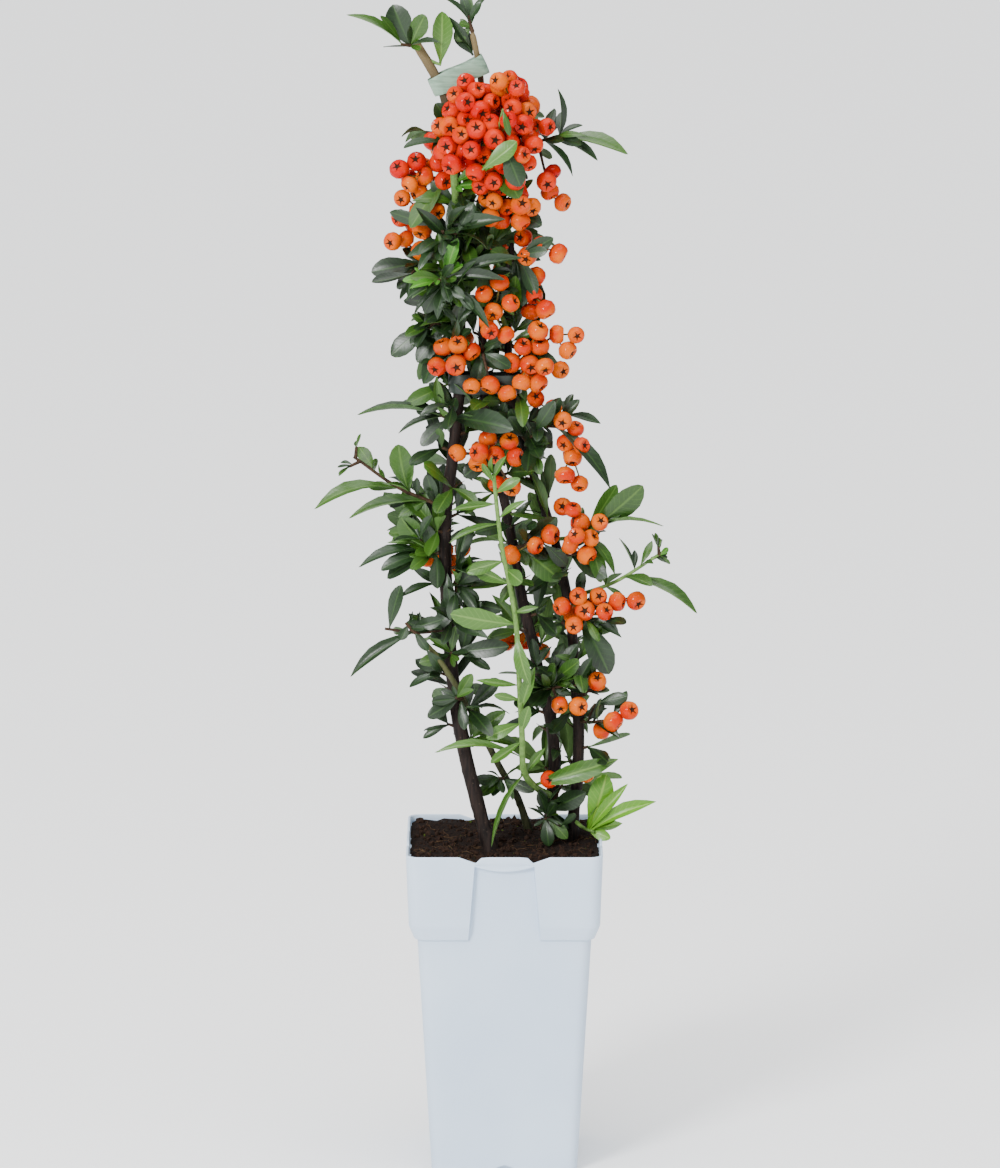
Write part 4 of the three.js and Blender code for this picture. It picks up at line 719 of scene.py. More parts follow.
def fill_cluster(cluster):
    """Late berries fill the hollows of a cluster, the nearest to its centre first."""
    mass, centre = cluster["mass"], cluster["centre"]
    if cluster["count"] < 2:
        return
    more = next(share for lowest, share in LATE_SHARES if centre.z > lowest)
    wanted = cluster["count"] - len(cluster["kept"]) + int(cluster["count"] * more)
    spread = Vector([max(side, 3) for side in cluster["spread"]])
    tries = []
    for seed_place in cluster["kept"] or [centre]:
        for _ in range(BERRY_TRIES):
            place = seed_place + random_direction(mass.fine) * (2 * BERRY_RADIUS * 0.99)
            away = place - centre
            tries.append((sum((away[i] / spread[i]) ** 2 for i in range(3)), place))
    for _, place in sorted(tries, key=lambda entry: entry[0]):
        if (wanted > 0 and mass.holds(place, BERRY_RADIUS * 0.5) and in_outline(mass, place)
                and berry_fits(place)):
            cluster["kept"].append(place)
            taken.append(place)
            wanted -= 1


def hang_berries(cluster):
    """Turns each berry's eye outwards and bends a stalk to it from the cluster's own."""
    mass, start, centre = cluster["mass"], cluster["start"], cluster["centre"]
    facing = Vector((0, -0.7 if centre.y < BACK_FROM else 0.7, -0.1))
    for place in cluster["kept"]:
        away = (place - start.lerp(centre, 0.5)).normalized()
        axis = (away + facing + random_direction(mass.fine) * 0.8).normalized()
        red = place.z > RED_ABOVE and mass.fine() < RED_SHARE
        berries.append((place, axis, "red" if red else "orange"))
        foot = nearest_on(start, centre, place)
        base = place - axis * (BERRY_RADIUS * 0.75)
        if (base - foot).length > 1.5:
            bend = foot.lerp(base, 0.55) - UP * 0.6 - axis * 0.8
            sticks.append(([foot, bend, base], 0.6, 0.42, "stalk"))


for cluster in clusters:
    fill_cluster(cluster)
for cluster in clusters:
    hang_berries(cluster)
berry_tree = search_tree([place for place, _, _ in berries])
leaf_middles = []


def leaf_fits(mass, root, reach, front):
    """A fine leaf stays in reach, off stems and berries, and hides no berry from front or back."""
    if mass and not mass.holds(root + reach, REACH_ROOM):
        return False
    middle = root + reach / 2
    if any((middle - other).length < LEAF_APART for other in leaf_middles[-NEIGHBOURS:]):
        return False
    for share in LEAF_CHECKS:
        point = root + reach * share
        if (stem_distance(point) < 1 or tie_distance(point) < TAPE_ROOM
                or point.z < SOIL_TOP + SOIL_ROOM):
            return False
        for place, _, distance in berry_tree.find_range(point, BERRY_SEARCH):
            beside = math.hypot(point.x - place.x, point.z - place.z)
            before = (point.y - place.y) * front > 0
            if distance < BERRY_RADIUS + 1.5 or (before and beside < BERRY_RADIUS + 2.5):
                return False
    return True


def fine_leaf(mass, root, reach, wide, face, tone, draw):
    """A smaller leaf, left off where it doesn't fit."""
    front = 1 if (root + reach / 2).y > BACK_FROM + 1 else -1
    if leaf_fits(mass, root, reach, front):
        outward = Vector((0.4 * (draw() - 0.5), front, 0)).normalized()
        blades.append((root, reach, wide, upper_side(reach, face, outward), tone))
        leaf_middles.append(root + reach / 2)


def companions(mass, root, reach, tone):
    """One or three shorter leaves from a grown leaf's own root."""
    length = reach.length
    heading = reach / length
    _, twig_heading = along(mass.twig, 0.9)
    for k in range(1 if mass.sparse else 3):
        angle = math.radians(mix(35, 95, mass.fine())) * (1 if k % 2 else -1)
        swung = turned_round(heading, twig_heading, angle) + UP * 0.25 * mass.fine()
        size = min(length, 34) * mix(0.45, 0.75, mass.fine())
        fine_leaf(mass, root, swung.normalized() * max(size, 8), mix(0.22, 0.4, mass.fine()),
                  mix(0.3, 0.8, mass.fine()), tone, mass.fine)


def whorl(mass, point, heading, turn, length, tone, draw, count=3):
    """Leaves in a ring round a point of a twig, leaning forwards; says whether one was left on."""
    before = len(blades)
    aside = UP.cross(heading)
    aside = aside.normalized() if aside.length > 0.1 else Vector((1, 0, 0))
    for k in range(count):
        out = turned_round(aside, heading, turn + 2 * math.pi * (k + 0.4 * draw()) / count)
        reach = (heading * mix(0.4, 0.9, draw()) + out + UP * 0.2).normalized()
        fine_leaf(mass, point, reach * mix(*length, draw()), mix(0.24, 0.4, draw()),
                  mix(0.25, 0.8, draw()), tone, draw)
    return len(blades) > before


def finer_twigs(mass):
    """Whorls of small leaves along the twig and at its tip, and side twigs that end in one.

    An open mass has a few thin whorls only.
    """
    length = (mass.twig[-1] - mass.origin).length
    first = (mass.stem_radius + STEM_CLEAR + 1) / length
    steps = round(length / (SPARSE_WHORL_STEP if mass.sparse else WHORL_STEP))
    for k in range(steps):
        point, heading = along(mass.twig, mix(first, 1, (k + 0.5) / steps))
        turn = k * GOLDEN_ANGLE + mass.fine()
        tone = spray_tone(mass)
        whorl(mass, point, heading, turn, WHORL_LENGTH, tone, mass.fine, 2 if mass.sparse else 3)
        if k % 2 == 0 and not mass.sparse:
            aside = turned_round(UP.cross(heading).normalized(), heading, turn + 1)
            out = (heading * 0.5 + aside).normalized()
            end = point + out * mix(*SIDE_TWIG_LENGTH, mass.fine())
            if (mass.holds(end, 2) and stem_distance(end) > 2
                    and whorl(mass, end, out, turn, WHORL_LENGTH, tone, mass.fine)):
                sticks.append(([point, end], 0.85, 0.6, "twig"))
    if not mass.sparse:
        tip, heading = along(mass.twig, 1)
        turn = mass.fine() * 6
        whorl(mass, tip - heading, heading, turn, WHORL_LENGTH, spray_tone(mass), mass.fine, 4)


def grow_thorn(point, out, radius):
    """A stiff thorn beside a spur, left off where a berry hangs."""
    spine = turned_round(out, UP, 1.3) * 0.9 + UP * 0.2
    tip = point + spine * (radius + THORN_LENGTH)
    if berry_tree.find(tip)[2] > BERRY_RADIUS + 2:
        sticks.append(([point + spine * (radius - 0.5), tip], 0.6, 0.12, "twig"))


def stem_fascicles(name, index):
    """Short spurs up a stem, each with a few small leaves, and a thorn at every third."""
    draw = seeded(FASCICLE_SEED + index)
    path, _ = tracks[name]
    top = min(path[-1].z - 8, FASCICLE_HIGHEST)
    height = FASCICLE_LOWEST[name]
    number = 0
    while height < top:
        point, radius = on_stem(name, height)
        around = number * GOLDEN_ANGLE + draw()
        out = Vector((math.cos(around), math.sin(around), 0.35)).normalized()
        end = point + out * (radius + FASCICLE_STALK)
        tone = "dark" if draw() < 0.6 else "mid"
        if whorl(None, end, out, draw() * 6, FASCICLE_LENGTH, tone, draw, 5):
            sticks.append(([point + out * (radius - 0.6), end], 1.0, 0.8, "twig"))
        if number % 3 == 0 and tie_distance(point) > 2 * TAPE_ROOM:
            grow_thorn(point, out, radius)
        height += (FASCICLE_STEP if height > CROWDED_ABOVE else OPEN_STEP) * mix(0.8, 1.2, draw())
        number += 1


def grow_twig(mass):
    """The mass's own twig as a smooth stick; the pruned shoot ends in bare cut wood."""
    steps = max(round((mass.twig[-1] - mass.origin).length / 3), 4)
    smooth = spaced(mass.twig, steps)
    first, last = SHOOT_RADII.get(mass.name, (1, 0.6))
    sticks.append((smooth, TWIG_RADIUS * first, TWIG_RADIUS * last, "green" if mass.green else "twig"))
    if mass.name == "shoot_pruned":
        cut = smooth[-1] + (smooth[-1] - smooth[-2]).normalized() * 0.4
        sticks.append(([smooth[-1], cut], TWIG_RADIUS * last * 0.97, TWIG_RADIUS * last * 0.9, "cut"))


def front_leaf(name, root, reach, wide, tone):
    """A single leaf that faces the front, on a stalk of its own where it hangs clear of the stems."""
    tip = next(mass for mass in masses if mass.name == name).twig[-1]
    root, reach = Vector(root), Vector(reach)
    forwards = Vector((0.15, -1, 0.1)).normalized()
    blades.append((root, reach, wide, upper_side(reach, 1, forwards), tone))
    if stem_distance(root) > 2:
        sticks.append(([tip, tip.lerp(root, 0.6) - UP, root], 0.9, 0.5, "green"))


for mass in masses:
    grow_twig(mass)
for row in FRONT_LEAVES:
    front_leaf(*row)
for mass, root, reach, tone in spray_roots:
    if mass.name != "young_shoot":
        companions(mass, root, reach, tone)
for mass in masses:
    if mass.name != "young_shoot":
        finer_twigs(mass)
for index, name in enumerate(FASCICLE_LOWEST):
    stem_fascicles(name, index)


# ---- materials -----------------------------------------------------------------------------------
def linear(hex_colour):
    """An sRGB hex colour as linear RGBA."""
    channels = [int(hex_colour[i:i + 2], 16) / 255 for i in (1, 3, 5)]
    bent = [c / 12.92 if c <= 0.04045 else ((c + 0.055) / 1.055) ** 2.4 for c in channels]
    return (*bent, 1)


def per_metre(size):
    """The scale at which a pattern repeats about once every `size` millimetres."""
    return 1 / (size * MM)


def add(tree, kind, inputs=None, **settings):
    """A node with its settings, and its inputs linked or filled."""
    node = tree.nodes.new(kind)
    for key, value in settings.items():
        setattr(node, key, value)
    for key, value in (inputs or {}).items():
        if isinstance(value, bpy.types.NodeSocket):
            tree.links.new(value, node.inputs[key])
        else:
            node.inputs[key].default_value = value
    return node


def blank(name, **constants):
    """A material with one Principled shader, whose constant inputs are given by name."""
    made = bpy.data.materials.new(name)
    made.use_nodes = True
    tree = made.node_tree
    tree.nodes.clear()
    inputs = {key.replace("_", " "): value for key, value in constants.items()}
    shader = add(tree, "ShaderNodeBsdfPrincipled", inputs)
    add(tree, "ShaderNodeOutputMaterial", {"Surface": shader.outputs["BSDF"]})
    return made, tree, shader


MIX_FACTOR, MIX_LOW, MIX_HIGH, MIX_RESULT = 0, 6, 7, 2  # the colour sockets of a Mix node


def laid_over(tree, under, colour, source, span, cover=(0.0, 1.0)):
    """A colour laid over another where the source runs through a span, as thickly as `cover` says."""
    share = add(tree, "ShaderNodeMapRange", {"Value": source, "From Min": span[0], "From Max": span[1],
                                             "To Min": cover[0], "To Max": cover[1]}).outputs[0]
    return add(tree, "ShaderNodeMix", {MIX_FACTOR: share, MIX_LOW: under, MIX_HIGH: linear(colour)},
               data_type="RGBA").outputs[MIX_RESULT]


def finish_skin(tree, shader, colour, height, strength, depth, dull=None):
    """Links the colour, a relief of `depth` millimetres and, where given, a roughness that varies."""
    tree.links.new(colour, shader.inputs["Base Color"])
    relief = add(tree, "ShaderNodeBump", {"Height": height, "Strength": strength,
                                          "Distance": depth * MM}).outputs["Normal"]
    tree.links.new(relief, shader.inputs["Normal"])
    if dull:
        source, least, most = dull
        rough = add(tree, "ShaderNodeMapRange", {"Value": source, "To Min": least, "To Max": most})
        tree.links.new(rough.outputs[0], shader.inputs["Roughness"])


def blade_axes(tree):
    """How far along its own blade a point lies, and how far from the midrib."""
    blade = add(tree, "ShaderNodeAttribute", attribute_name="blade_place").outputs["Vector"]
    axes = add(tree, "ShaderNodeSeparateXYZ", {"Vector": blade}).outputs
    return axes["X"], add(tree, "ShaderNodeMath", {0: axes["Y"]}, operation="ABSOLUTE").outputs[0]


def leaf_upper(name, shade, light, rib):
    """Living leaf with a waxy upper skin: a soft even sheen over small dents between its veins."""
    made, tree, shader = blank(name, Specular_IOR_Level=0.42, IOR=1.45, Coat_Weight=0.1,
                               Coat_Roughness=0.25)
    place = add(tree, "ShaderNodeTexCoord").outputs["Object"]
    lengthways, across = blade_axes(tree)
    # From leaf to leaf the green drifts over about 30 mm, and each blade is mottled at 4 mm.
    drift = add(tree, "ShaderNodeTexNoise", {"Vector": place, "Scale": per_metre(30),
                                             "Detail": 1.0}).outputs["Fac"]
    mottle = add(tree, "ShaderNodeTexNoise", {"Vector": place, "Scale": per_metre(4),
                                              "Detail": 3.0}).outputs["Fac"]
    green = laid_over(tree, linear(shade), light, drift, (0.3, 0.7))
    green = laid_over(tree, green, light, mottle, (0.35, 0.75), (0.0, 0.35))
    # Side veins leave the midrib at a slant, one every eleventh of the blade's length.
    slant = add(tree, "ShaderNodeMath", {0: across, 1: -0.16, 2: lengthways},
                operation="MULTIPLY_ADD").outputs[0]
    comb = add(tree, "ShaderNodeMath", {0: slant, 1: 0.045}, operation="PINGPONG").outputs[0]
    veins = add(tree, "ShaderNodeMapRange", {"Value": comb, "From Max": 0.012, "To Min": 0.3,
                                             "To Max": 0.0}).outputs[0]
    midrib = add(tree, "ShaderNodeMapRange", {"Value": across, "From Min": 0.04, "From Max": 0.14,
                                              "To Min": 0.75, "To Max": 0.0}).outputs[0]
    lines = add(tree, "ShaderNodeMath", {0: veins, 1: midrib}, operation="MAXIMUM").outputs[0]
    colour = laid_over(tree, green, rib, lines, (0.0, 1.0))
    height = add(tree, "ShaderNodeMath", {0: lines, 1: -1.0, 2: mottle},
                 operation="MULTIPLY_ADD").outputs[0]
    finish_skin(tree, shader, colour, height, 0.35, 0.25, (mottle, 0.3, 0.46))
    return made


def leaf_underside(name, shade, light):
    """The same leaf's underside: paler and dull, with its midrib standing out."""
    made, tree, shader = blank(name, Roughness=0.62, Specular_IOR_Level=0.35)
    place = add(tree, "ShaderNodeTexCoord").outputs["Object"]
    _, across = blade_axes(tree)
    mottle = add(tree, "ShaderNodeTexNoise", {"Vector": place, "Scale": per_metre(5),
                                              "Detail": 3.0}).outputs["Fac"]
    midrib = add(tree, "ShaderNodeMapRange", {"Value": across, "From Min": 0.03, "From Max": 0.12,
                                              "To Min": 1.0, "To Max": 0.0}).outputs[0]
    paler = add(tree, "ShaderNodeMath", {0: midrib, 1: mottle}, operation="MAXIMUM").outputs[0]
    colour = laid_over(tree, linear(shade), light, paler, (0.0, 1.0))
    finish_skin(tree, shader, colour, midrib, 0.4, 0.3)
    return made


def berry_skin(name, ripe, paler):
    """Ripe berry skin, thin and waxed: bright colour with a small clear highlight and faint pores."""
    made, tree, shader = blank(name, IOR=1.36, Coat_Weight=0.18, Coat_Roughness=0.07,
                               Specular_IOR_Level=0.05)
    place = add(tree, "ShaderNodeTexCoord").outputs["Object"]
    blush = add(tree, "ShaderNodeTexNoise", {"Vector": place, "Scale": per_metre(14),
                                             "Detail": 2.0}).outputs["Fac"]
    # Real pores are a tenth of a millimetre across; they are drawn coarser, so that they show.
    pores = add(tree, "ShaderNodeTexNoise", {"Vector": place, "Scale": per_metre(0.9),
                                             "Detail": 2.0}).outputs["Fac"]
    colour = laid_over(tree, linear(ripe), paler, blush, (0.38, 0.62))
    finish_skin(tree, shader, colour, pores, 0.15, 0.15, (pores, 0.22, 0.4))
    return made


def rough_matter(name, dark, light, size, roughness, depth, pit_size=None):
    """Dry natural matter with no sheen: two tones dealt by its grain, and a bump of finer pits."""
    made, tree, shader = blank(name, Roughness=roughness, Specular_IOR_Level=0.12)
    place = add(tree, "ShaderNodeTexCoord").outputs["Object"]
    grain = add(tree, "ShaderNodeTexNoise", {"Vector": place, "Scale": per_metre(size), "Detail": 6.0,
                                             "Roughness": 0.65}).outputs["Fac"]
    pits = add(tree, "ShaderNodeTexNoise", {"Vector": place, "Scale": per_metre(pit_size or size / 2),
                                            "Detail": 4.0}).outputs["Fac"]
    colour = laid_over(tree, linear(dark), light, grain, (0.36, 0.66))
    finish_skin(tree, shader, colour, pits, 0.6, depth)
    return made


def bark(name, dark, light, tip, tip_from, tip_to):
    """Young woody bark, living skin that has split: dull, streaked lengthways, with pale lenticels."""
    made, tree, shader = blank(name, Specular_IOR_Level=0.15)
    place = add(tree, "ShaderNodeTexCoord").outputs["Object"]
    # Streaks are eight times as long as they are wide, so the pattern is drawn out along the height.
    drawn = add(tree, "ShaderNodeMapping", {"Vector": place, "Scale": (1, 1, 0.12)}).outputs["Vector"]
    streaks = add(tree, "ShaderNodeTexNoise", {"Vector": drawn, "Scale": per_metre(1.6), "Detail": 5.0,
                                               "Roughness": 0.6}).outputs["Fac"]
    height = add(tree, "ShaderNodeSeparateXYZ", {"Vector": place}).outputs["Z"]
    lenticels = add(tree, "ShaderNodeTexVoronoi", {"Vector": place,
                                                   "Scale": per_metre(2.6)}).outputs["Distance"]
    wood = laid_over(tree, linear(dark), light, streaks, (0.38, 0.66))
    wood = laid_over(tree, wood, tip, height, (tip_from * MM, tip_to * MM))
    colour = laid_over(tree, wood, "#6b5c4e", lenticels, (0.06, 0.2), (0.22, 0.0))
    finish_skin(tree, shader, colour, streaks, 0.7, 0.5, (streaks, 0.5, 0.85))
    return made


def pot_plastic():
    """Polypropylene, injection moulded: an even pale skin, half dull, with faint handling marks."""
    made, tree, shader = blank("polypropylene, injection moulded, pale grey", IOR=1.49)
    place = add(tree, "ShaderNodeTexCoord").outputs["Object"]
    flow = add(tree, "ShaderNodeTexNoise", {"Vector": place, "Scale": per_metre(60),
                                            "Detail": 2.0}).outputs["Fac"]
    # Scuffs run upwards, where pots rub as they are pulled from a stack.
    drawn = add(tree, "ShaderNodeMapping", {"Vector": place, "Scale": (1, 1, 0.2)}).outputs["Vector"]
    scuffs = add(tree, "ShaderNodeTexNoise", {"Vector": drawn, "Scale": per_metre(2.5), "Detail": 6.0,
                                              "Roughness": 0.7}).outputs["Fac"]
    # The mould's own grain is finer than this; it is drawn coarser, so that it dulls the sheen.
    skin = add(tree, "ShaderNodeTexNoise", {"Vector": place, "Scale": per_metre(0.8),
                                            "Detail": 2.0}).outputs["Fac"]
    colour = laid_over(tree, linear("#b8cbe0"), "#c4d5e8", flow, (0.3, 0.7))
    colour = laid_over(tree, colour, "#98a4b2", scuffs, (0.62, 0.78), (0.0, 0.16))
    finish_skin(tree, shader, colour, skin, 0.06, 0.1, (scuffs, 0.36, 0.56))
    return made


def tie_plastic(name, colour, crease):
    """Polyethylene tying tape, drawn thin: soft and slightly see-through, with fine stretch lines."""
    made, tree, shader = blank(name, IOR=1.5, Transmission_Weight=0.12, Roughness=0.42)
    place = add(tree, "ShaderNodeTexCoord").outputs["Object"]
    drawn = add(tree, "ShaderNodeMapping", {"Vector": place, "Scale": (0.15, 0.15, 1)}).outputs["Vector"]
    lines = add(tree, "ShaderNodeTexNoise", {"Vector": drawn, "Scale": per_metre(1.2),
                                             "Detail": 3.0}).outputs["Fac"]
    drawn_out = laid_over(tree, linear(crease), colour, lines, (0.35, 0.7))
    finish_skin(tree, shader, drawn_out, lines, 0.3, 0.2)
    return made


# Old leaves are dark and glossy, and the younger a leaf is, the paler and yellower its green.
UPPER = {
    "dark": leaf_upper("leaf, waxy upper side, dark green", "#0e1b0b", "#1c3316", "#2c471c"),
    "mid": leaf_upper("leaf, waxy upper side, middle green", "#203c10", "#345616", "#4a6a26"),
    "fresh": leaf_upper("leaf, waxy upper side, fresh green", "#2b6418", "#40781c", "#6a923c"),
    "bright": leaf_upper("leaf, waxy upper side, bright green", "#3f7016", "#578a1c", "#82a440"),
    "young": leaf_upper("leaf, waxy upper side, young pale green", "#335518", "#456b25", "#67883e"),
}
# Undersides have no wax: they are paler than their own upper sides and never shine.
UNDER = {
    "dark": leaf_underside("leaf, dull underside, dark green", "#2c4622", "#4a6638"),
    "mid": leaf_underside("leaf, dull underside, middle green", "#385a22", "#587a3a"),
    "fresh": leaf_underside("leaf, dull underside, fresh green", "#4a7a24", "#709a40"),
    "bright": leaf_underside("leaf, dull underside, bright green", "#629030", "#8cae50"),
    "young": leaf_underside("leaf, dull underside, young pale green", "#527b30", "#70954e"),
}
# Berries ripen from orange to orange red, and no two have quite the same colour all round.
SKIN = {
    "red": berry_skin("berry skin, waxed, orange red", "#ae0200", "#c62e00"),
    "orange": berry_skin("berry skin, waxed, orange", "#b62600", "#c85a00"),
}
# Shrivelled and dry, the calyx star is the darkest and dullest spot of a berry.
CALYX = rough_matter("dried calyx, shrivelled, dark brown", "#180c08", "#382013", 1.2, 0.9, 0.4)
# Living skin keeps a slight sheen: brown on twigs, green on this year's shoots, olive on stalks.
TWIG_BARK = rough_matter("twig bark, living skin, brown", "#241a13", "#463425", 2.5, 0.65, 0.3)
GREEN_TWIG = rough_matter("green shoot skin, living, pale green", "#4c6c31", "#698649", 3, 0.5, 0.15)
STALK_SKIN = rough_matter("berry stalk skin, living, olive", "#45401f", "#6c5c2c", 3, 0.6, 0.15)
# Older wood has split into dark streaks and is paler at its tip; one year's wood is still olive.
STEM_BARK = bark("stem bark, split young wood, dark brown", "#100b0a", "#2a201c", "#6a5c40", 590, 632)
OLIVE_BARK = bark("stem bark, smooth one-year wood, olive", "#26291b", "#43452d", "#50522f", 260, 308)
# Sawn end grain is the palest wood of the plant, and quite dull.
CUT_WOOD = rough_matter("pruned wood, sawn end grain, tan", "#a9783f", "#cda26c", 1.0, 0.8, 0.3)
# Damp peat swallows the light: nearly black, with brown crumbs, straw fibres and green moss on it.
PEAT = rough_matter("peat compost, loose and damp, dark brown", "#0a0605", "#221711", 2.2, 0.95, 1.2)
CRUMB = rough_matter("peat crumbs, torn fibre, brown", "#120b08", "#33231a", 1.6, 0.95, 0.8)
FIBRE = rough_matter("root fibre, dried, straw brown", "#2b1e16", "#54402c", 4, 0.85, 0.2)
MOSS = rough_matter("moss, living cushion, green", "#26310f", "#48531f", 1.5, 0.95, 0.8)
POT_SKIN = pot_plastic()
# Drawn thin, tape lets a little light through and shines softly along its stretch lines.
TIE_PALE = tie_plastic("polyethylene tape, drawn, pale green grey", "#8aa690", "#6c8874")
TIE_DARK = tie_plastic("polyethylene tape, drawn, dark green", "#27362c", "#18231c")


# ---- making meshes -------------------------------------------------------------------------------
def new_object(name, data):
    made = bpy.data.objects.new(name, data)
    bpy.context.scene.collection.objects.link(made)
    return made


def closed_mesh(name, points, faces, materials=(), parts=None, unit=MM):
    """A smooth closed mesh from points in millimetres; `parts` deals out the materials by face."""
    mesh = bpy.data.meshes.new(name)
    mesh.from_pydata([Vector(point) * unit for point in points], [], faces)
    for made in materials:
        mesh.materials.append(made)
    if parts:
        mesh.polygons.foreach_set("material_index", parts)
    cleaned = bmesh.new()
    cleaned.from_mesh(mesh)
    bmesh.ops.recalc_face_normals(cleaned, faces=cleaned.faces)
    cleaned.to_mesh(mesh)
    cleaned.free()
    mesh.shade_smooth()
    mesh.set_sharp_from_angle(angle=math.radians(55))
    return mesh


def ring_faces(rows, count):
    """Quads between neighbouring rings of `count` points."""
    return [[row * count + i, row * count + (i + 1) % count,
             (row + 1) * count + (i + 1) % count, (row + 1) * count + i]
            for row in range(rows - 1) for i in range(count)]


def caps(rows, count):
    """A flat face over the first ring, and one over the last."""
    last = (rows - 1) * count
    return [list(range(count)), [last + i for i in range(count)]]


def framed(path):
    """Each point of a path with two directions across it, carried along without a twist."""
    across = Vector((1, 0, 0))
    for i, point in enumerate(path):
        heading = (path[min(i + 1, len(path) - 1)] - path[max(i - 1, 0)]).normalized()
        if i == 0 and abs(heading.x) > 0.9:
            across = UP.copy()
        across = (across - heading * across.dot(heading)).normalized()
        yield point, across, heading.cross(across)


# ---- node trees for what repeats and what follows a path -----------------------------------------
def new_tree(name, inputs):
    """A geometry tree with named inputs, each given as its socket kind and default."""
    tree = bpy.data.node_groups.new(name, "GeometryNodeTree")
    tree.interface.new_socket("Geometry", in_out="INPUT", socket_type="NodeSocketGeometry")
    tree.interface.new_socket("Geometry", in_out="OUTPUT", socket_type="NodeSocketGeometry")
    for label, (kind, default) in inputs.items():
        socket = tree.interface.new_socket(label, in_out="INPUT", socket_type=kind)
        if default is not None:
            socket.default_value = default
    return tree, add(tree, "NodeGroupInput").outputs


def finish_tree(tree, geometry, materials):
    """Realizes the instances, deals out the materials by the faces' `part`, and ends the tree."""
    real = add(tree, "GeometryNodeRealizeInstances", {"Geometry": geometry}).outputs["Geometry"]
    part = add(tree, "GeometryNodeInputNamedAttribute", {"Name": "part"},
               data_type="INT").outputs["Attribute"]
    for number, made in enumerate(materials):
        chosen = add(tree, "FunctionNodeCompare", {"A": part, "B": number}, data_type="INT",
                     operation="EQUAL").outputs["Result"]
        real = add(tree, "GeometryNodeSetMaterial", {"Geometry": real, "Selection": chosen,
                                                     "Material": made}).outputs["Geometry"]
    add(tree, "NodeGroupOutput", {"Geometry": real})


def scatter_tree(name, materials):
    """Copies of the shapes on every point, each with its own turn, size and shape number."""
    tree, given = new_tree(name, {"Shapes": ("NodeSocketCollection", None),
                                  "Size": ("NodeSocketFloat", 1.0)})
    shapes = add(tree, "GeometryNodeCollectionInfo", {
        "Collection": given["Shapes"], "Separate Children": True, "Reset Children": True})
    turn = add(tree, "GeometryNodeInputNamedAttribute", {"Name": "turn"}, data_type="FLOAT_VECTOR")
    size = add(tree, "GeometryNodeInputNamedAttribute", {"Name": "size"}, data_type="FLOAT_VECTOR")
    shape = add(tree, "GeometryNodeInputNamedAttribute", {"Name": "shape"}, data_type="INT")
    scaled = add(tree, "ShaderNodeVectorMath", {0: size.outputs["Attribute"], "Scale": given["Size"]},
                 operation="SCALE")
    copies = add(tree, "GeometryNodeInstanceOnPoints", {
        "Points": given["Geometry"], "Instance": shapes.outputs["Instances"], "Pick Instance": True,
        "Instance Index": shape.outputs["Attribute"], "Rotation": turn.outputs["Attribute"],
        "Scale": scaled.outputs["Vector"]})
    finish_tree(tree, copies.outputs["Instances"], materials)
    return tree


def tube_tree(name, materials):
    """A round tube along every path, as thick as the path's own `radius` says."""
    tree, given = new_tree(name, {"Sides": ("NodeSocketInt", 6), "Thickness": ("NodeSocketFloat", 1.0)})
    path = add(tree, "GeometryNodeMeshToCurve", {"Mesh": given["Geometry"]})
    circle = add(tree, "GeometryNodeCurvePrimitiveCircle", {"Resolution": given["Sides"], "Radius": 1.0})
    radius = add(tree, "GeometryNodeInputNamedAttribute", {"Name": "radius"}, data_type="FLOAT")
    scale = add(tree, "ShaderNodeMath", {0: radius.outputs["Attribute"], 1: given["Thickness"]},
                operation="MULTIPLY")
    tube = add(tree, "GeometryNodeCurveToMesh", {
        "Curve": path.outputs["Curve"], "Profile Curve": circle.outputs["Curve"],
        "Scale": scale.outputs[0], "Fill Caps": True})
    smooth = add(tree, "GeometryNodeSetShadeSmooth", {"Geometry": tube.outputs["Mesh"]})
    finish_tree(tree, smooth.outputs["Geometry"], materials)
    return tree


def evaluated(made, tree, inputs):
    """Runs a tree on an object, keeps its result as a plain mesh and takes the modifier off."""
    modifier = made.modifiers.new(tree.name, "NODES")
    modifier.node_group = tree
    for item in tree.interface.items_tree:
        if item.item_type == "SOCKET" and item.in_out == "INPUT" and item.name in inputs:
            modifier[item.identifier] = inputs[item.name]
    depsgraph = bpy.context.evaluated_depsgraph_get()
    result = bpy.data.meshes.new_from_object(made.evaluated_get(depsgraph), depsgraph=depsgraph,
                                             preserve_all_data_layers=True)
    made.modifiers.remove(modifier)
    made.data = result
    result.name = made.name
    return made


def scattered(name, places, shapes, materials):
    """One piece from (point, turn matrix, size, shape number) rows, with a shape at each."""
    mesh = bpy.data.meshes.new(name)
    mesh.from_pydata([point * MM for point, _, _, _ in places], [], [])
    turns = [x for _, turn, _, _ in places for x in turn.to_euler()]
    sizes = [x for _, _, scale, _ in places for x in scale]
    kinds = [kind for _, _, _, kind in places]
    mesh.attributes.new("turn", "FLOAT_VECTOR", "POINT").data.foreach_set("vector", turns)
    mesh.attributes.new("size", "FLOAT_VECTOR", "POINT").data.foreach_set("vector", sizes)
    mesh.attributes.new("shape", "INT", "POINT").data.foreach_set("value", kinds)
    return evaluated(new_object(name, mesh), scatter_tree(name, materials),
                     {"Shapes": shapes, "Size": MM})


def tubes(name, paths, sides, material):
    """One piece from (path, first radius, last radius) rows."""
    points, edges, radii = [], [], []
    for path, first, last in paths:
        start = len(points)
        points += [point * MM for point in path]
        edges += [(start + i, start + i + 1) for i in range(len(path) - 1)]
        radii += [mix(first, last, i / (len(path) - 1)) for i in range(len(path))]
    mesh = bpy.data.meshes.new(name)
    mesh.from_pydata(points, edges, [])
    mesh.attributes.new("radius", "FLOAT", "POINT").data.foreach_set("value", radii)
    return evaluated(new_object(name, mesh), tube_tree(name, [material]),
                     {"Sides": sides, "Thickness": MM})


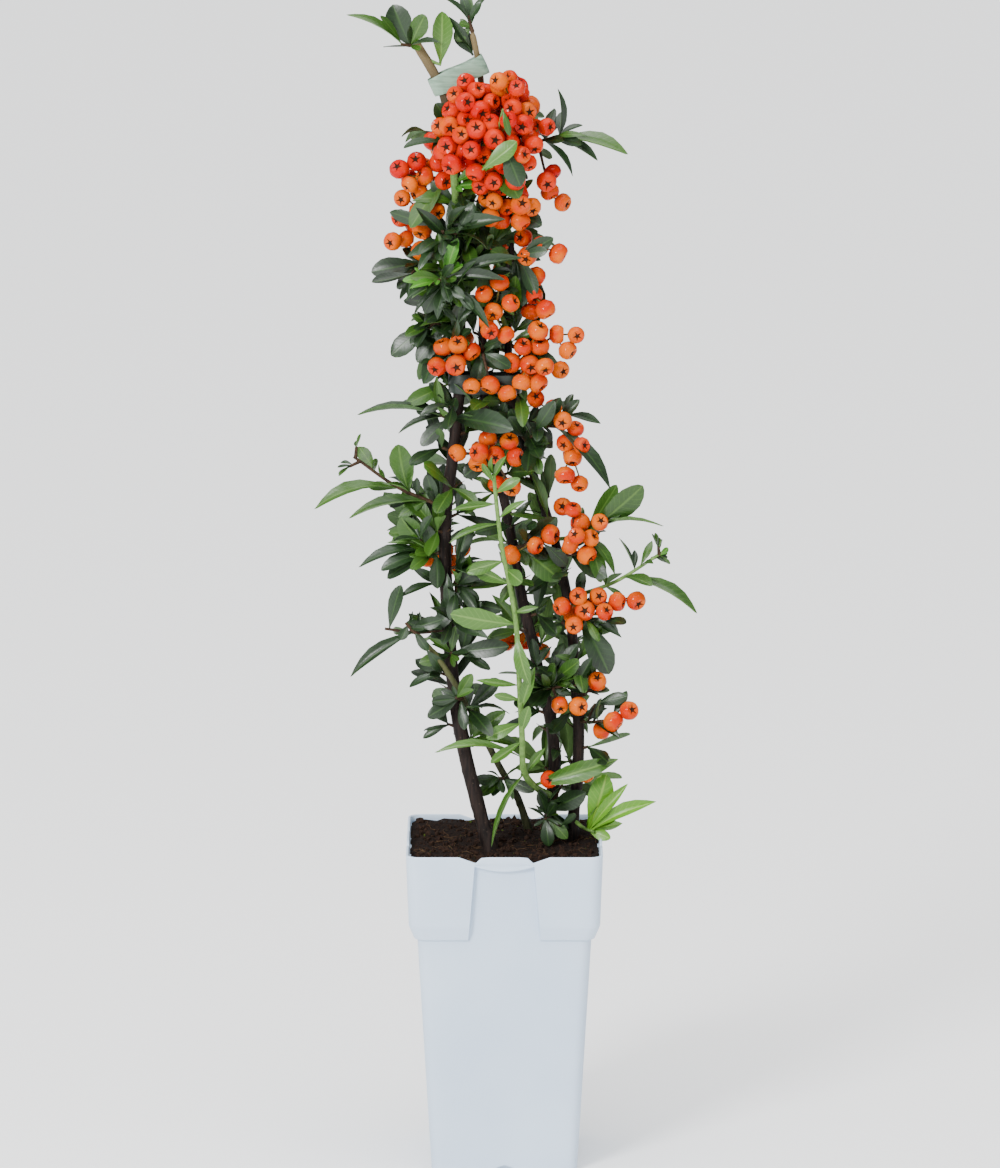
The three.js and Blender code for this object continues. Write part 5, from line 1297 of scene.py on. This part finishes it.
def collection_of(name, meshes):
    """The shapes that a scatter tree picks from, in order."""
    made = bpy.data.collections.new(name)
    for number, mesh in enumerate(meshes):
        made.objects.link(bpy.data.objects.new(f"{name}_{number}", mesh))
    return made


# ---- leaves and berries --------------------------------------------------------------------------
LEAF_STATIONS = (0, 0.1, 0.24, 0.42, 0.6, 0.76, 0.89, 0.965)
LEAF_COLUMNS = (-1, -0.52, 0, 0.52, 1)
BLADE_THICK = 0.014
# Each shape of leaf: how far it arches, folds along its midrib, curls down at its edges and twists.
BLUNT_LEAVES = ((0.03, 0.3, 0.05, 0.0), (0.07, 0.5, 0.02, 0.35), (0.05, 0.2, 0.12, -0.4),
                (-0.03, 0.6, 0.0, 0.2), (0.1, 0.4, 0.05, -0.25), (0.02, 0.15, 0.14, 0.5))
POINTED_LEAVES = ((0.1, 0.5, 0.0, 0.2), (0.14, 0.35, 0.04, -0.35), (0.05, 0.6, 0.0, 0.45))
BLUNT_OUTLINE = (1.6, 0.62)  # how far past the middle a blade is widest, and how full it is
POINTED_OUTLINE = (1.15, 0.95)
NARROW_LEAF = 0.28  # blades narrower than this, of their length, are pointed
STALK_WIDTH = 0.09  # of the greatest width
STALK_SHARE = 0.03  # of the length
BLADE_SINK = 0.4  # how far a blade starts inside its twig


def half_width(share, lean, fullness):
    """Of the greatest half width: narrow at the stalk, widest past the middle."""
    inside = max((share - STALK_SHARE) / (1 - STALK_SHARE), 0)
    return max(STALK_WIDTH * (1 - share), math.sin(math.pi * inside ** lean) ** fullness)


def leaf_shape(number, arch, fold, curl, twist, outline):
    """A closed thin blade of length 1 and width 1, that a scatter point stretches to its own size."""
    points, places = [], []
    under = [column for column in reversed(LEAF_COLUMNS) if abs(column) < 1]
    for share in LEAF_STATIONS:
        half = half_width(share, *outline) / 2
        spin = twist * share
        for side, columns in ((0, LEAF_COLUMNS), (1, under)):
            for column in columns:
                y = column * half
                lift = fold * abs(y) - curl * abs(column) ** 3 + y * math.sin(spin)
                z = arch * 4 * share * (1 - share) + lift * LEAF_WIDTH - side * BLADE_THICK
                points.append((share, y * math.cos(spin), z))
                places.append((share, column, 0))
    count = len(LEAF_COLUMNS) + len(under)
    rows = len(LEAF_STATIONS)
    tip = len(points)
    points.append((1, 0, 0))
    places.append((1, 0, 0))
    last = (rows - 1) * count
    faces = ring_faces(rows, count) + [list(range(count))]
    faces += [[last + i, last + (i + 1) % count, tip] for i in range(count)]
    top = len(LEAF_COLUMNS) - 1
    mesh = closed_mesh(f"leaf_shape_{number}", points, faces, unit=1)
    upper = [min(face) % count < top and (tip in face or max(face) % count <= top) for face in faces]
    mesh.attributes.new("part", "INT", "FACE").data.foreach_set("value", [int(not up) for up in upper])
    mesh.attributes.new("blade_place", "FLOAT_VECTOR", "POINT").data.foreach_set(
        "vector", [x for place in places for x in place])
    return mesh


def turn_matrix(forward, upper):
    """Turns +X to `forward` and +Z to `upper`."""
    return Matrix((forward, upper.cross(forward), upper)).transposed()


def make_leaves(tone):
    draw = seeded(LEAF_SEED + sum(tone.encode()))
    places = []
    for root, reach, wide, upper, kind in blades:
        if kind == tone:
            length = reach.length
            forward = reach / length
            size = (length, length * wide, length)
            blunt = len(BLUNT_LEAVES)
            shape = int(draw() * blunt)
            if wide < NARROW_LEAF:
                shape = blunt + shape % len(POINTED_LEAVES)
            places.append((root - forward * BLADE_SINK, turn_matrix(forward, upper), size, shape))
    return scattered(f"leaves_{tone}", places, leaf_shapes, [UPPER[tone], UNDER[tone]])


BERRY_SIDES = 15
# Rings of a berry, from its stalk to its calyx: radius and height, of its own radius.
BERRY_RINGS = ((0.5, -0.82), (0.93, -0.38), (1.0, 0.1), (0.86, 0.56), (0.66, 0.76))
BERRY_ENDS = (0.76, 0.5)  # how deep the stalk's pit and the eye's hollow lie
SEPAL_TIP = (0.6, 0.77)
SEPAL_GAP = (0.24, 0.62)


def berry_shape(number, squash, lean):
    """A slightly flattened ball, hollowed at its eye, with a five-pointed dried calyx in it."""
    star = [SEPAL_TIP if k % 3 == 0 else SEPAL_GAP for k in range(BERRY_SIDES)]
    points = [(0, 0, -BERRY_ENDS[0] * squash)]
    for ring in [[ring] * BERRY_SIDES for ring in BERRY_RINGS] + [star]:
        for k, (radius, height) in enumerate(ring):
            around = 2 * math.pi * k / BERRY_SIDES
            points.append((radius * math.cos(around) + lean * height, radius * math.sin(around),
                           height * squash))
    points.append((lean * BERRY_ENDS[1], 0, BERRY_ENDS[1] * squash))
    rows = len(BERRY_RINGS) + 1
    faces = [[1 + index for index in face] for face in ring_faces(rows, BERRY_SIDES)]
    first_star = 1 + (rows - 1) * BERRY_SIDES
    faces += [[0, 1 + (k + 1) % BERRY_SIDES, 1 + k] for k in range(BERRY_SIDES)]
    faces += [[first_star + k, first_star + (k + 1) % BERRY_SIDES, len(points) - 1]
              for k in range(BERRY_SIDES)]
    mesh = closed_mesh(f"berry_shape_{number}", points, faces, unit=1)
    mesh.attributes.new("part", "INT", "FACE").data.foreach_set(
        "value", [1 if len(points) - 1 in face else 0 for face in faces])
    return mesh


def make_berries(tone):
    draw = seeded(BERRY_SEED + sum(tone.encode()))
    places = []
    for place, axis, kind in berries:
        if kind == tone:
            aside = axis.cross(random_direction(draw)).normalized()
            radius = BERRY_RADIUS * mix(0.9, 1.12, draw())
            shape = int(draw() * len(berry_shapes.objects))
            places.append((place, turn_matrix(aside, axis), (radius,) * 3, shape))
    return scattered(f"berries_{tone}", places, berry_shapes, [SKIN[tone], CALYX])


leaf_forms = [(*form, BLUNT_OUTLINE) for form in BLUNT_LEAVES]
leaf_forms += [(*form, POINTED_OUTLINE) for form in POINTED_LEAVES]
BERRY_FORMS = ((0.92, 0), (0.98, 0.05), (0.88, -0.04))  # how flattened and how aslant
leaf_shapes = collection_of("leaf_shapes", [leaf_shape(k, *form) for k, form in enumerate(leaf_forms)])
berry_shapes = collection_of("berry_shapes",
                             [berry_shape(k, *form) for k, form in enumerate(BERRY_FORMS)])
leaf_pieces = [make_leaves(tone) for tone in UPPER]
berry_pieces = [make_berries(tone) for tone in SKIN]
twig_pieces = [tubes(name, [row[:3] for row in sticks if row[3] == kind], sides, made)
               for name, kind, sides, made in (("twigs_brown", "twig", 7, TWIG_BARK),
                                               ("twigs_green", "green", 8, GREEN_TWIG),
                                               ("berry_stalks", "stalk", 5, STALK_SKIN),
                                               ("twig_cut", "cut", 10, CUT_WOOD))]

# ---- stems with their bark's relief --------------------------------------------------------------
BARK_STEP = 2.2
BARK_SIDES = 22
BUD_STEP = 13
BUD_SWELL = (1.6, 0.45)  # half length and height
# Two patterns of relief: how tight round the stem, how long, and how high, of the radius.
RIDGES = (2.4, 11, 0.09)
FLAKES = (6, 3.2, 0.05)
FLARE_HEIGHT = 16
STEM_SUNK = 2.5  # how far a stem's foot runs down into the soil
TIP_ROUNDING = (5, 0.6)  # a tip that isn't cut rounds off from before its end to just past it


def bark_relief(out, gone, pattern):
    """How far a pattern of the bark stands out at a place, of the stem's radius."""
    tight, length, high = pattern
    return high * noise.noise(Vector((out.x * tight, out.y * tight, gone / length)))


def make_stem(name, material, cut):
    """The stem's own path at a fine step: ridges along it, a swelling at each bud and a wider foot."""
    stem = STEMS[name]
    rough, _ = tracks[name]
    length = sum((b - a).length for a, b in zip(rough, rough[1:]))
    steps = round(length / BARK_STEP)
    path = spaced(stem["through"], steps)
    path[0].z -= STEM_SUNK
    points = []
    for i, (point, across, side) in enumerate(framed(path)):
        gone = i * BARK_STEP
        radius = mix(stem["foot"], stem["tip"], i / steps)
        radius += stem["flare"] * (1 - ease(gone, 0, FLARE_HEIGHT))
        bud = BUD_SWELL[1] * math.exp(-((gone % BUD_STEP - BUD_STEP / 2) / BUD_SWELL[0]) ** 2)
        if not cut:
            radius *= math.sqrt(1 - ease(gone, length - TIP_ROUNDING[0], length + TIP_ROUNDING[1]))
        for k in range(BARK_SIDES):
            around = 2 * math.pi * k / BARK_SIDES
            out = across * math.cos(around) + side * math.sin(around)
            facing = max(math.cos(around - gone / BUD_STEP * GOLDEN_ANGLE), 0) ** 3
            lift = radius * (bark_relief(out, gone, RIDGES) + bark_relief(out, gone, FLAKES))
            points.append(point + out * (radius + (lift + bud * facing)))
    rows = len(points) // BARK_SIDES
    faces = ring_faces(rows, BARK_SIDES) + caps(rows, BARK_SIDES)
    parts = [0] * (len(faces) - 1) + [1]
    mesh = closed_mesh(name + "_bark", points, faces, [material, CUT_WOOD if cut else material], parts)
    return new_object(name + "_bark", mesh)


stem_pieces = {name: make_stem(name, OLIVE_BARK if name == "stem_crossing" else STEM_BARK,
                               name == "stem_left") for name in STEMS}

# ---- pot -----------------------------------------------------------------------------------------
PANEL_TOP = 32
PANEL_FOOT = 40
PANEL_EDGE = 0.3  # half the width of the panel's upright step
LIP_FOOT = 179.4  # lower edge of the rim band at its ends
LIP_SAG = 2.8  # lower at mid span
LIP_GROOVE = (180.6, 181.5, 0.45)  # from, to and how deep, along the rim band
NOTCH_DEPTH = 3.4
NOTCH_MARKS = (12.5, 16, 25)  # where a notch starts, is deepest and ends, from the face's middle
ARCH_HALF = 6
ARCH_HEIGHT = 4
CORNER_STEPS = 7
SIDE_LEAN = (POT_BODY_TOP - POT_FOOT) / 2 / COLLAR_FOOT
COLLAR_LEANS = 144  # above this height the collar widens evenly to the rim
NOTCHED_ABOVE = 180
PANEL_MARGIN = 0.8  # from the panel's step to the next column of points


def body_half(z):
    return POT_FOOT / 2 + SIDE_LEAN * z


def collar_half(z):
    return mix(POT_COLLAR_FOOT, POT_RIM, (z - COLLAR_LEANS) / (POT_HEIGHT - COLLAR_LEANS)) / 2


# The pot's section in rings of (height, half width, corner radius).
POT_SECTION = (
    # Its floor from underneath, and the foot's rounded edge.
    [(1, 34, 3), (0.2, 36, 4), (0, 37, 4), (0, 40, 5), (0.4, 40.7, 5.4), (1.2, 41.1, 5.8)]
    # The body, wider upwards.
    + [(z, body_half(z), 6.4) for z in (2.2, 3.2, 4.2, 6, 12, 40, 70, 100, 125, 133, 134.8)]
    # The step out to the collar.
    + [(135.9, body_half(135.9), 6.6), (136.1, 49.2, 6.7), (136.3, 50.2, 6.9), (136.8, 50.7, 7),
       (137.6, 51, 7), (140.5, 52.1, 7), (143.4, 53.2, 7), (144.2, 53.45, 7)]
    # The collar, with more rings where the rim band's edge and groove run.
    + [(z, collar_half(z), CORNER_RADIUS)
       for z in (146, 150, 156, 162, 168, 172, 175, 177, 178.4, 179.1,
                 179.7, 180.4, 180.8, 181.3, 181.7, 182.2, 183.4, 184.4)]
    # Over the rolled rim and down the inside.
    + [(184.9, 54.7, 6.8), (185, 54.3, 6.5), (184.9, 53.8, 6.2), (184.4, 53.5, 6),
       (182.5, 53.4, 6), (180.3, 53.3, 6)]
    + [(z, body_half(z) - POT_WALL, 5) for z in (179.9, 176, 100, 8)]
)


def face_columns(panel_half, flat):
    """Places across one face, crowded where the panel's sides, the notches and the foot arch run."""
    inner = [share * (panel_half - PANEL_MARGIN) for share in (0.15, 0.31, 0.55, 0.85)]
    edges = [panel_half + side for side in (-PANEL_MARGIN, -PANEL_EDGE, PANEL_EDGE, PANEL_MARGIN)]
    outer = [mix(panel_half + PANEL_MARGIN, flat, share) for share in (0.28, 0.5, 0.75, 1)]
    half = inner + edges + outer
    return [-x for x in reversed(half)] + [0] + half


def notch(x):
    """How far the rim is cut down at a place across a face."""
    start, deepest, end = NOTCH_MARKS
    cut = min((abs(x) - start) / (deepest - start), (end - abs(x)) / (end - deepest))
    return NOTCH_DEPTH * max(cut, 0)


def pot_point(x, z, half, panel_half, outside):
    """One point of a face that looks along -Y: the panel sunk in, the rim notched, the foot arched."""
    rise, depth = z, 0.0
    if outside and z > COLLAR_FOOT - 3:
        inside = 1 - ease(abs(x), panel_half - PANEL_EDGE, panel_half + PANEL_EDGE)
        sunk = max(half - body_half(z), 0)
        depth = sunk * inside * (1 - ease(z, LIP_FOOT - 0.35, LIP_FOOT + 0.35))
        groove_foot, groove_top, groove_depth = LIP_GROOVE
        if groove_foot < z < groove_top:
            depth = groove_depth * inside
        sag = LIP_SAG * max(1 - (x / panel_half) ** 2, 0)
        rise -= sag * ease(z, 165, LIP_FOOT - 0.3) * (1 - ease(z, LIP_FOOT + 0.3, 183))
    if z > NOTCHED_ABOVE:
        rise -= notch(x) * (z - NOTCHED_ABOVE) / (POT_HEIGHT - NOTCHED_ABOVE)
    if outside and z < ARCH_HEIGHT and half > 38:
        rise = max(rise, ARCH_HEIGHT * (1 - (x / ARCH_HALF) ** 2))
    return Vector((x, -(half - depth), rise))


def make_pot():
    points = []
    turned_over = next(i for i, row in enumerate(POT_SECTION) if row[0] == POT_HEIGHT)
    for row, (z, half, corner) in enumerate(POT_SECTION):
        share = min((POT_HEIGHT - z) / (POT_HEIGHT - COLLAR_FOOT), 1)
        panel_half = mix(PANEL_TOP, PANEL_FOOT, share) / 2
        flat = half - corner
        for face in range(4):
            turn = Matrix.Rotation(face * math.pi / 2, 3, "Z")
            for x in face_columns(panel_half, flat):
                points.append(turn @ pot_point(x, z, half, panel_half, row <= turned_over))
            for step in range(1, CORNER_STEPS):
                around = math.pi / 2 * (step / CORNER_STEPS - 1)
                points.append(turn @ Vector((flat + corner * math.cos(around),
                                             -flat + corner * math.sin(around), z)))
    rows = len(POT_SECTION)
    count = len(points) // rows
    mesh = closed_mesh("nursery_pot", points, ring_faces(rows, count) + caps(rows, count), [POT_SKIN])
    return new_object("nursery_pot", mesh)


# ---- soil ----------------------------------------------------------------------------------------
SOIL_HALF = 53.1
SOIL_LOWEST = 180.2
SOIL_BACK_RISE = 2.2
# Two sizes of lumps: how far apart and how high, and which layer of the noise.
CLODS = (9, 1.1, 0)
GRAINS = (3.2, 0.8, 5)
SOIL_SKIRT = ((0.9, 168), (0.915, 179.8))  # shares of the rim and heights, below the surface
CRUMB_SIZES = (0.5, 2.6)
MOSS_SIZES = (0.4, 1.5)
FIBRE_LENGTHS = (4, 15)
FIBRE_RADII = (0.22, 0.14)
WALL_ROOM = 1.5
SOIL_RINGS = 34
SOIL_SIDES = 120
CRUMB_COUNT = 900
MOSS_COUNT = 46
FIBRE_COUNT = 70
FIBRE_STEPS = 5
LUMP_DRAW = 2.99  # a draw times this picks one of the three lumps


def soil_lumps(x, y, pattern):
    apart, high, layer = pattern
    return high * noise.noise(Vector((x / apart, y / apart, layer)))


def soil_height(x, y):
    """Loose peat: low lumps, heaped towards the back and settled a little along the wall."""
    edge = max(abs(x), abs(y)) / SOIL_HALF
    lumpy = soil_lumps(x, y, CLODS) + soil_lumps(x, y, GRAINS)
    heaped = SOIL_BACK_RISE * ease(y, 0, SOIL_HALF)
    return max(SOIL_TOP - GAP + heaped + lumpy - 0.6 * ease(edge, 0.85, 1), SOIL_LOWEST)


def square_reach(around):
    """From the middle to the soil's rounded-square edge, in a direction."""
    power = 12
    return SOIL_HALF / (abs(math.cos(around)) ** power + abs(math.sin(around)) ** power) ** (1 / power)


def make_soil():
    """Rings of a rounded square, closed underneath."""
    points = []
    for ring in range(SOIL_RINGS, 0, -1):
        for k in range(SOIL_SIDES):
            around = 2 * math.pi * k / SOIL_SIDES
            reach = square_reach(around) * ring / SOIL_RINGS
            x, y = reach * math.cos(around), reach * math.sin(around)
            points.append(Vector((x, y, soil_height(x, y))))
    rim = points[:SOIL_SIDES]
    skirt = [Vector((point.x * share, point.y * share, z)) for share, z in SOIL_SKIRT
             for point in rim]
    points = skirt + points + [Vector((0, 0, soil_height(0, 0)))]
    rows = SOIL_RINGS + len(SOIL_SKIRT)
    last = (rows - 1) * SOIL_SIDES
    faces = ring_faces(rows, SOIL_SIDES) + [list(range(SOIL_SIDES))]
    faces += [[last + k, last + (k + 1) % SOIL_SIDES, len(points) - 1] for k in range(SOIL_SIDES)]
    return new_object("peat_soil", closed_mesh("peat_soil", points, faces, [PEAT]))


def lump_shape(number):
    """A small irregular lump of radius 1."""
    ball = bmesh.new()
    bmesh.ops.create_icosphere(ball, subdivisions=1, radius=1)
    for vertex in ball.verts:
        bend = noise.noise(vertex.co * 1.3 + Vector((number * 7, 0, 0)))
        vertex.co *= 1 + 0.7 * bend
    mesh = bpy.data.meshes.new(f"lump_{number}")
    ball.to_mesh(mesh)
    ball.free()
    mesh.attributes.new("part", "INT", "FACE")
    return mesh


def within_soil(place):
    """A place along a side, kept off the pot's wall."""
    reach = SOIL_HALF - WALL_ROOM
    return min(max(place, -reach), reach)


def on_soil(draw):
    x, y = [(2 * draw() - 1) * (SOIL_HALF - 2 * WALL_ROOM) for _ in range(2)]
    return Vector((x, y, soil_height(x, y)))


def strewn(name, count, sizes, material, seed):
    """Crumbs lying on the soil, most of them small."""
    draw = seeded(seed)
    places = []
    for _ in range(count):
        size = mix(*sizes, draw() ** 3)
        forward = random_direction(draw)
        upper = forward.cross(random_direction(draw)).normalized()
        place = on_soil(draw) + UP * (size * 0.2)
        stretch = (size, size * mix(0.5, 1, draw()), size * mix(0.5, 0.9, draw()))
        places.append((place, turn_matrix(forward, upper), stretch, int(draw() * LUMP_DRAW)))
    return scattered(name, places, lumps, [material])


def make_fibres():
    """Fine dry roots and straws, lying and half buried."""
    draw = seeded(FIBRE_SEED)
    paths = []
    for _ in range(FIBRE_COUNT):
        start = on_soil(draw)
        heading = 2 * math.pi * draw()
        length = mix(*FIBRE_LENGTHS, draw())
        path = []
        for i in range(FIBRE_STEPS + 1):
            share = i / FIBRE_STEPS
            heading += (draw() - 0.5) * 0.9
            x = within_soil(start.x + math.cos(heading) * length * share)
            y = within_soil(start.y + math.sin(heading) * length * share)
            arch = 1.4 * math.sin(math.pi * share) * draw()
            path.append(Vector((x, y, soil_height(x, y) + 0.2 + arch)))
        paths.append((path, *FIBRE_RADII))
    return tubes("soil_fibres", paths, 5, FIBRE)


lumps = collection_of("lumps", [lump_shape(number) for number in range(3)])
pot_piece = make_pot()
soil_pieces = [make_soil(),
               strewn("soil_crumbs", CRUMB_COUNT, CRUMB_SIZES, CRUMB, CRUMB_SEED),
               strewn("soil_moss", MOSS_COUNT, MOSS_SIZES, MOSS, MOSS_SEED),
               make_fibres()]

# ---- ties ----------------------------------------------------------------------------------------
TAPE_THICK = 0.7
TAPE_SECTION = 10
TAPE_STEPS = 72
TAPE_WAVES = (3, 0.35)  # how many round the loop, and how much each widens half the tape
TAPE_CREASES = (7, 3, 0.3)  # how far apart along and across the tape, and how high


def make_tie(name, centre, run, room, tilt, material):
    """Flat tape round its stems: a loop with round ends, slightly waved like drawn tape."""
    turn = Matrix.Rotation(math.radians(tilt), 3, "Y")
    bend = math.pi * room
    total = 2 * (run + bend)
    waves, swelling = TAPE_WAVES
    along_step, across_step, height = TAPE_CREASES
    points = []
    for step in range(TAPE_STEPS):
        gone = total * step / TAPE_STEPS
        half_turn, left = divmod(gone, run + bend)
        flip = 1 if half_turn == 0 else -1
        if left < run:
            spot = Vector((flip * (left - run / 2), -flip * room, 0))
            out = Vector((0, -flip, 0))
        else:
            around = (left - run) / room
            out = Vector((math.sin(around) * flip, -math.cos(around) * flip, 0))
            spot = Vector((flip * run / 2, 0, 0)) + out * room
        swell = swelling * math.sin(waves * 2 * math.pi * step / TAPE_STEPS)
        for k in range(TAPE_SECTION):
            around = 2 * math.pi * k / TAPE_SECTION
            flat = abs(math.sin(around)) ** 0.5 * math.copysign(1, math.sin(around))
            high = flat * (TAPE_WIDTH / 2 + swell)
            thick = TAPE_THICK / 2 * math.cos(around) + TAPE_THICK / 2
            crease = height * noise.noise(Vector((gone / along_step, high / across_step, centre[2])))
            points.append(turn @ (spot + out * (thick + crease) + UP * high) + Vector(centre))
    faces = ring_faces(TAPE_STEPS, TAPE_SECTION)
    last = (TAPE_STEPS - 1) * TAPE_SECTION
    faces += [[last + i, last + (i + 1) % TAPE_SECTION, (i + 1) % TAPE_SECTION, i]
              for i in range(TAPE_SECTION)]
    return new_object(name, closed_mesh(name, points, faces, [material]))


TAPE_SKINS = {"tie_upper": TIE_PALE, "tie_lower": TIE_DARK}
tie_pieces = {name: make_tie(name + "_tape", material=TAPE_SKINS[name], **tape)
              for name, tape in TAPES.items()}

# ---- joining the pieces to the frame -------------------------------------------------------------
FOLIAGE, YOUNG, FRUIT, BARK = "foliage", "young", "fruit", "bark"
CROWN_SLOTS = {"leaves_dark": FOLIAGE, "leaves_mid": FOLIAGE, "leaves_fresh": FOLIAGE,
               "leaves_bright": FOLIAGE, "leaves_young": YOUNG, "berries_red": FRUIT,
               "berries_orange": FRUIT, "twigs_brown": BARK, "twigs_green": YOUNG,
               "berry_stalks": BARK, "twig_cut": BARK}


def join(made, slot, *nodes):
    """A piece rides on the one body and hides the solids that it stands for; its slot is not used."""
    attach(made, "root")
    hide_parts(*nodes)


for made in leaf_pieces + berry_pieces + twig_pieces:
    join(made, CROWN_SLOTS[made.name], *[mass.name for mass in masses])
for name, made in stem_pieces.items():
    join(made, BARK, name)
for name, made in tie_pieces.items():
    join(made, "tie", name)
join(pot_piece, "pot", "pot")
for made in soil_pieces:
    join(made, "soil", "soil")
for shapes in (leaf_shapes, berry_shapes, lumps):
    for made in list(shapes.objects):
        bpy.data.objects.remove(made)
    bpy.data.collections.remove(shapes)

# ---- floor, light and camera ---------------------------------------------------------------------
CAMERA_DISTANCE = 4000
CAMERA_RISE = 11  # degrees above level
CAMERA_TARGET = Vector((-2.5, 0, 329.5))
LENS = 220
FLOOR_HALF = 9000
FLOOR_TOP = -0.2
OVERHEAD_POWER = 5.2
OVERHEAD_SPREAD = 70  # degrees across
OVERHEAD_TILT = 8  # degrees off straight down
# Each soft light's place, size across and power.
KEY_LIGHT = ((-1250, -2100, 1500), 700, 100)
FILL_LIGHT = ((2100, -1700, 700), 1400, 10)


def make_floor():
    """A plain pale studio floor."""
    made, _, _ = blank("studio floor, matt paint, white", Roughness=0.9, Base_Color=linear("#f4f4f4"))
    mesh = bpy.data.meshes.new("studio_floor")
    corners = [(-1, -1), (1, -1), (1, 1), (-1, 1)]
    mesh.from_pydata([Vector((x * FLOOR_HALF, y * FLOOR_HALF, FLOOR_TOP)) * MM for x, y in corners],
                     [], [(0, 1, 2, 3)])
    mesh.materials.append(made)
    return new_object("studio_floor", mesh)


def facing(direction):
    """The turn that points a light or a camera along a direction."""
    return direction.to_track_quat("-Z", "Y").to_euler()


def make_light(name, place, size, power):
    """A square soft light that looks at the middle of the plant."""
    data = bpy.data.lights.new(name, "AREA")
    data.size = size * MM
    data.energy = power
    made = new_object(name, data)
    made.location = Vector(place) * MM
    made.rotation_euler = facing(CAMERA_TARGET - Vector(place))
    return made


def make_overhead():
    """A very wide soft light almost straight above, as from a lit ceiling."""
    data = bpy.data.lights.new("overhead_light", "SUN")
    data.energy = OVERHEAD_POWER
    data.angle = math.radians(OVERHEAD_SPREAD)
    made = new_object("overhead_light", data)
    made.rotation_euler = (math.radians(OVERHEAD_TILT), 0, 0)
    return made


def make_camera():
    data = bpy.data.cameras.new("camera")
    data.lens = LENS
    data.sensor_width = 36
    data.sensor_fit = "AUTO"
    data.clip_end = 20
    made = new_object("camera", data)
    rise = math.radians(CAMERA_RISE)
    away = Vector((0, -math.cos(rise), math.sin(rise))) * CAMERA_DISTANCE
    made.location = (CAMERA_TARGET + away) * MM
    made.rotation_euler = facing(-away)
    bpy.context.scene.camera = made
    return made


def make_world():
    """An even white studio sky."""
    world = bpy.data.worlds.new("studio")
    world.use_nodes = True
    tree = world.node_tree
    tree.nodes.clear()
    sky = add(tree, "ShaderNodeBackground", {"Color": linear("#f1f6fb"), "Strength": 0.4})
    add(tree, "ShaderNodeOutputWorld", {"Surface": sky.outputs["Background"]})
    bpy.context.scene.world = world


make_floor()
make_overhead()
make_light("key_light", *KEY_LIGHT)
make_light("fill_light", *FILL_LIGHT)
make_camera()
make_world()
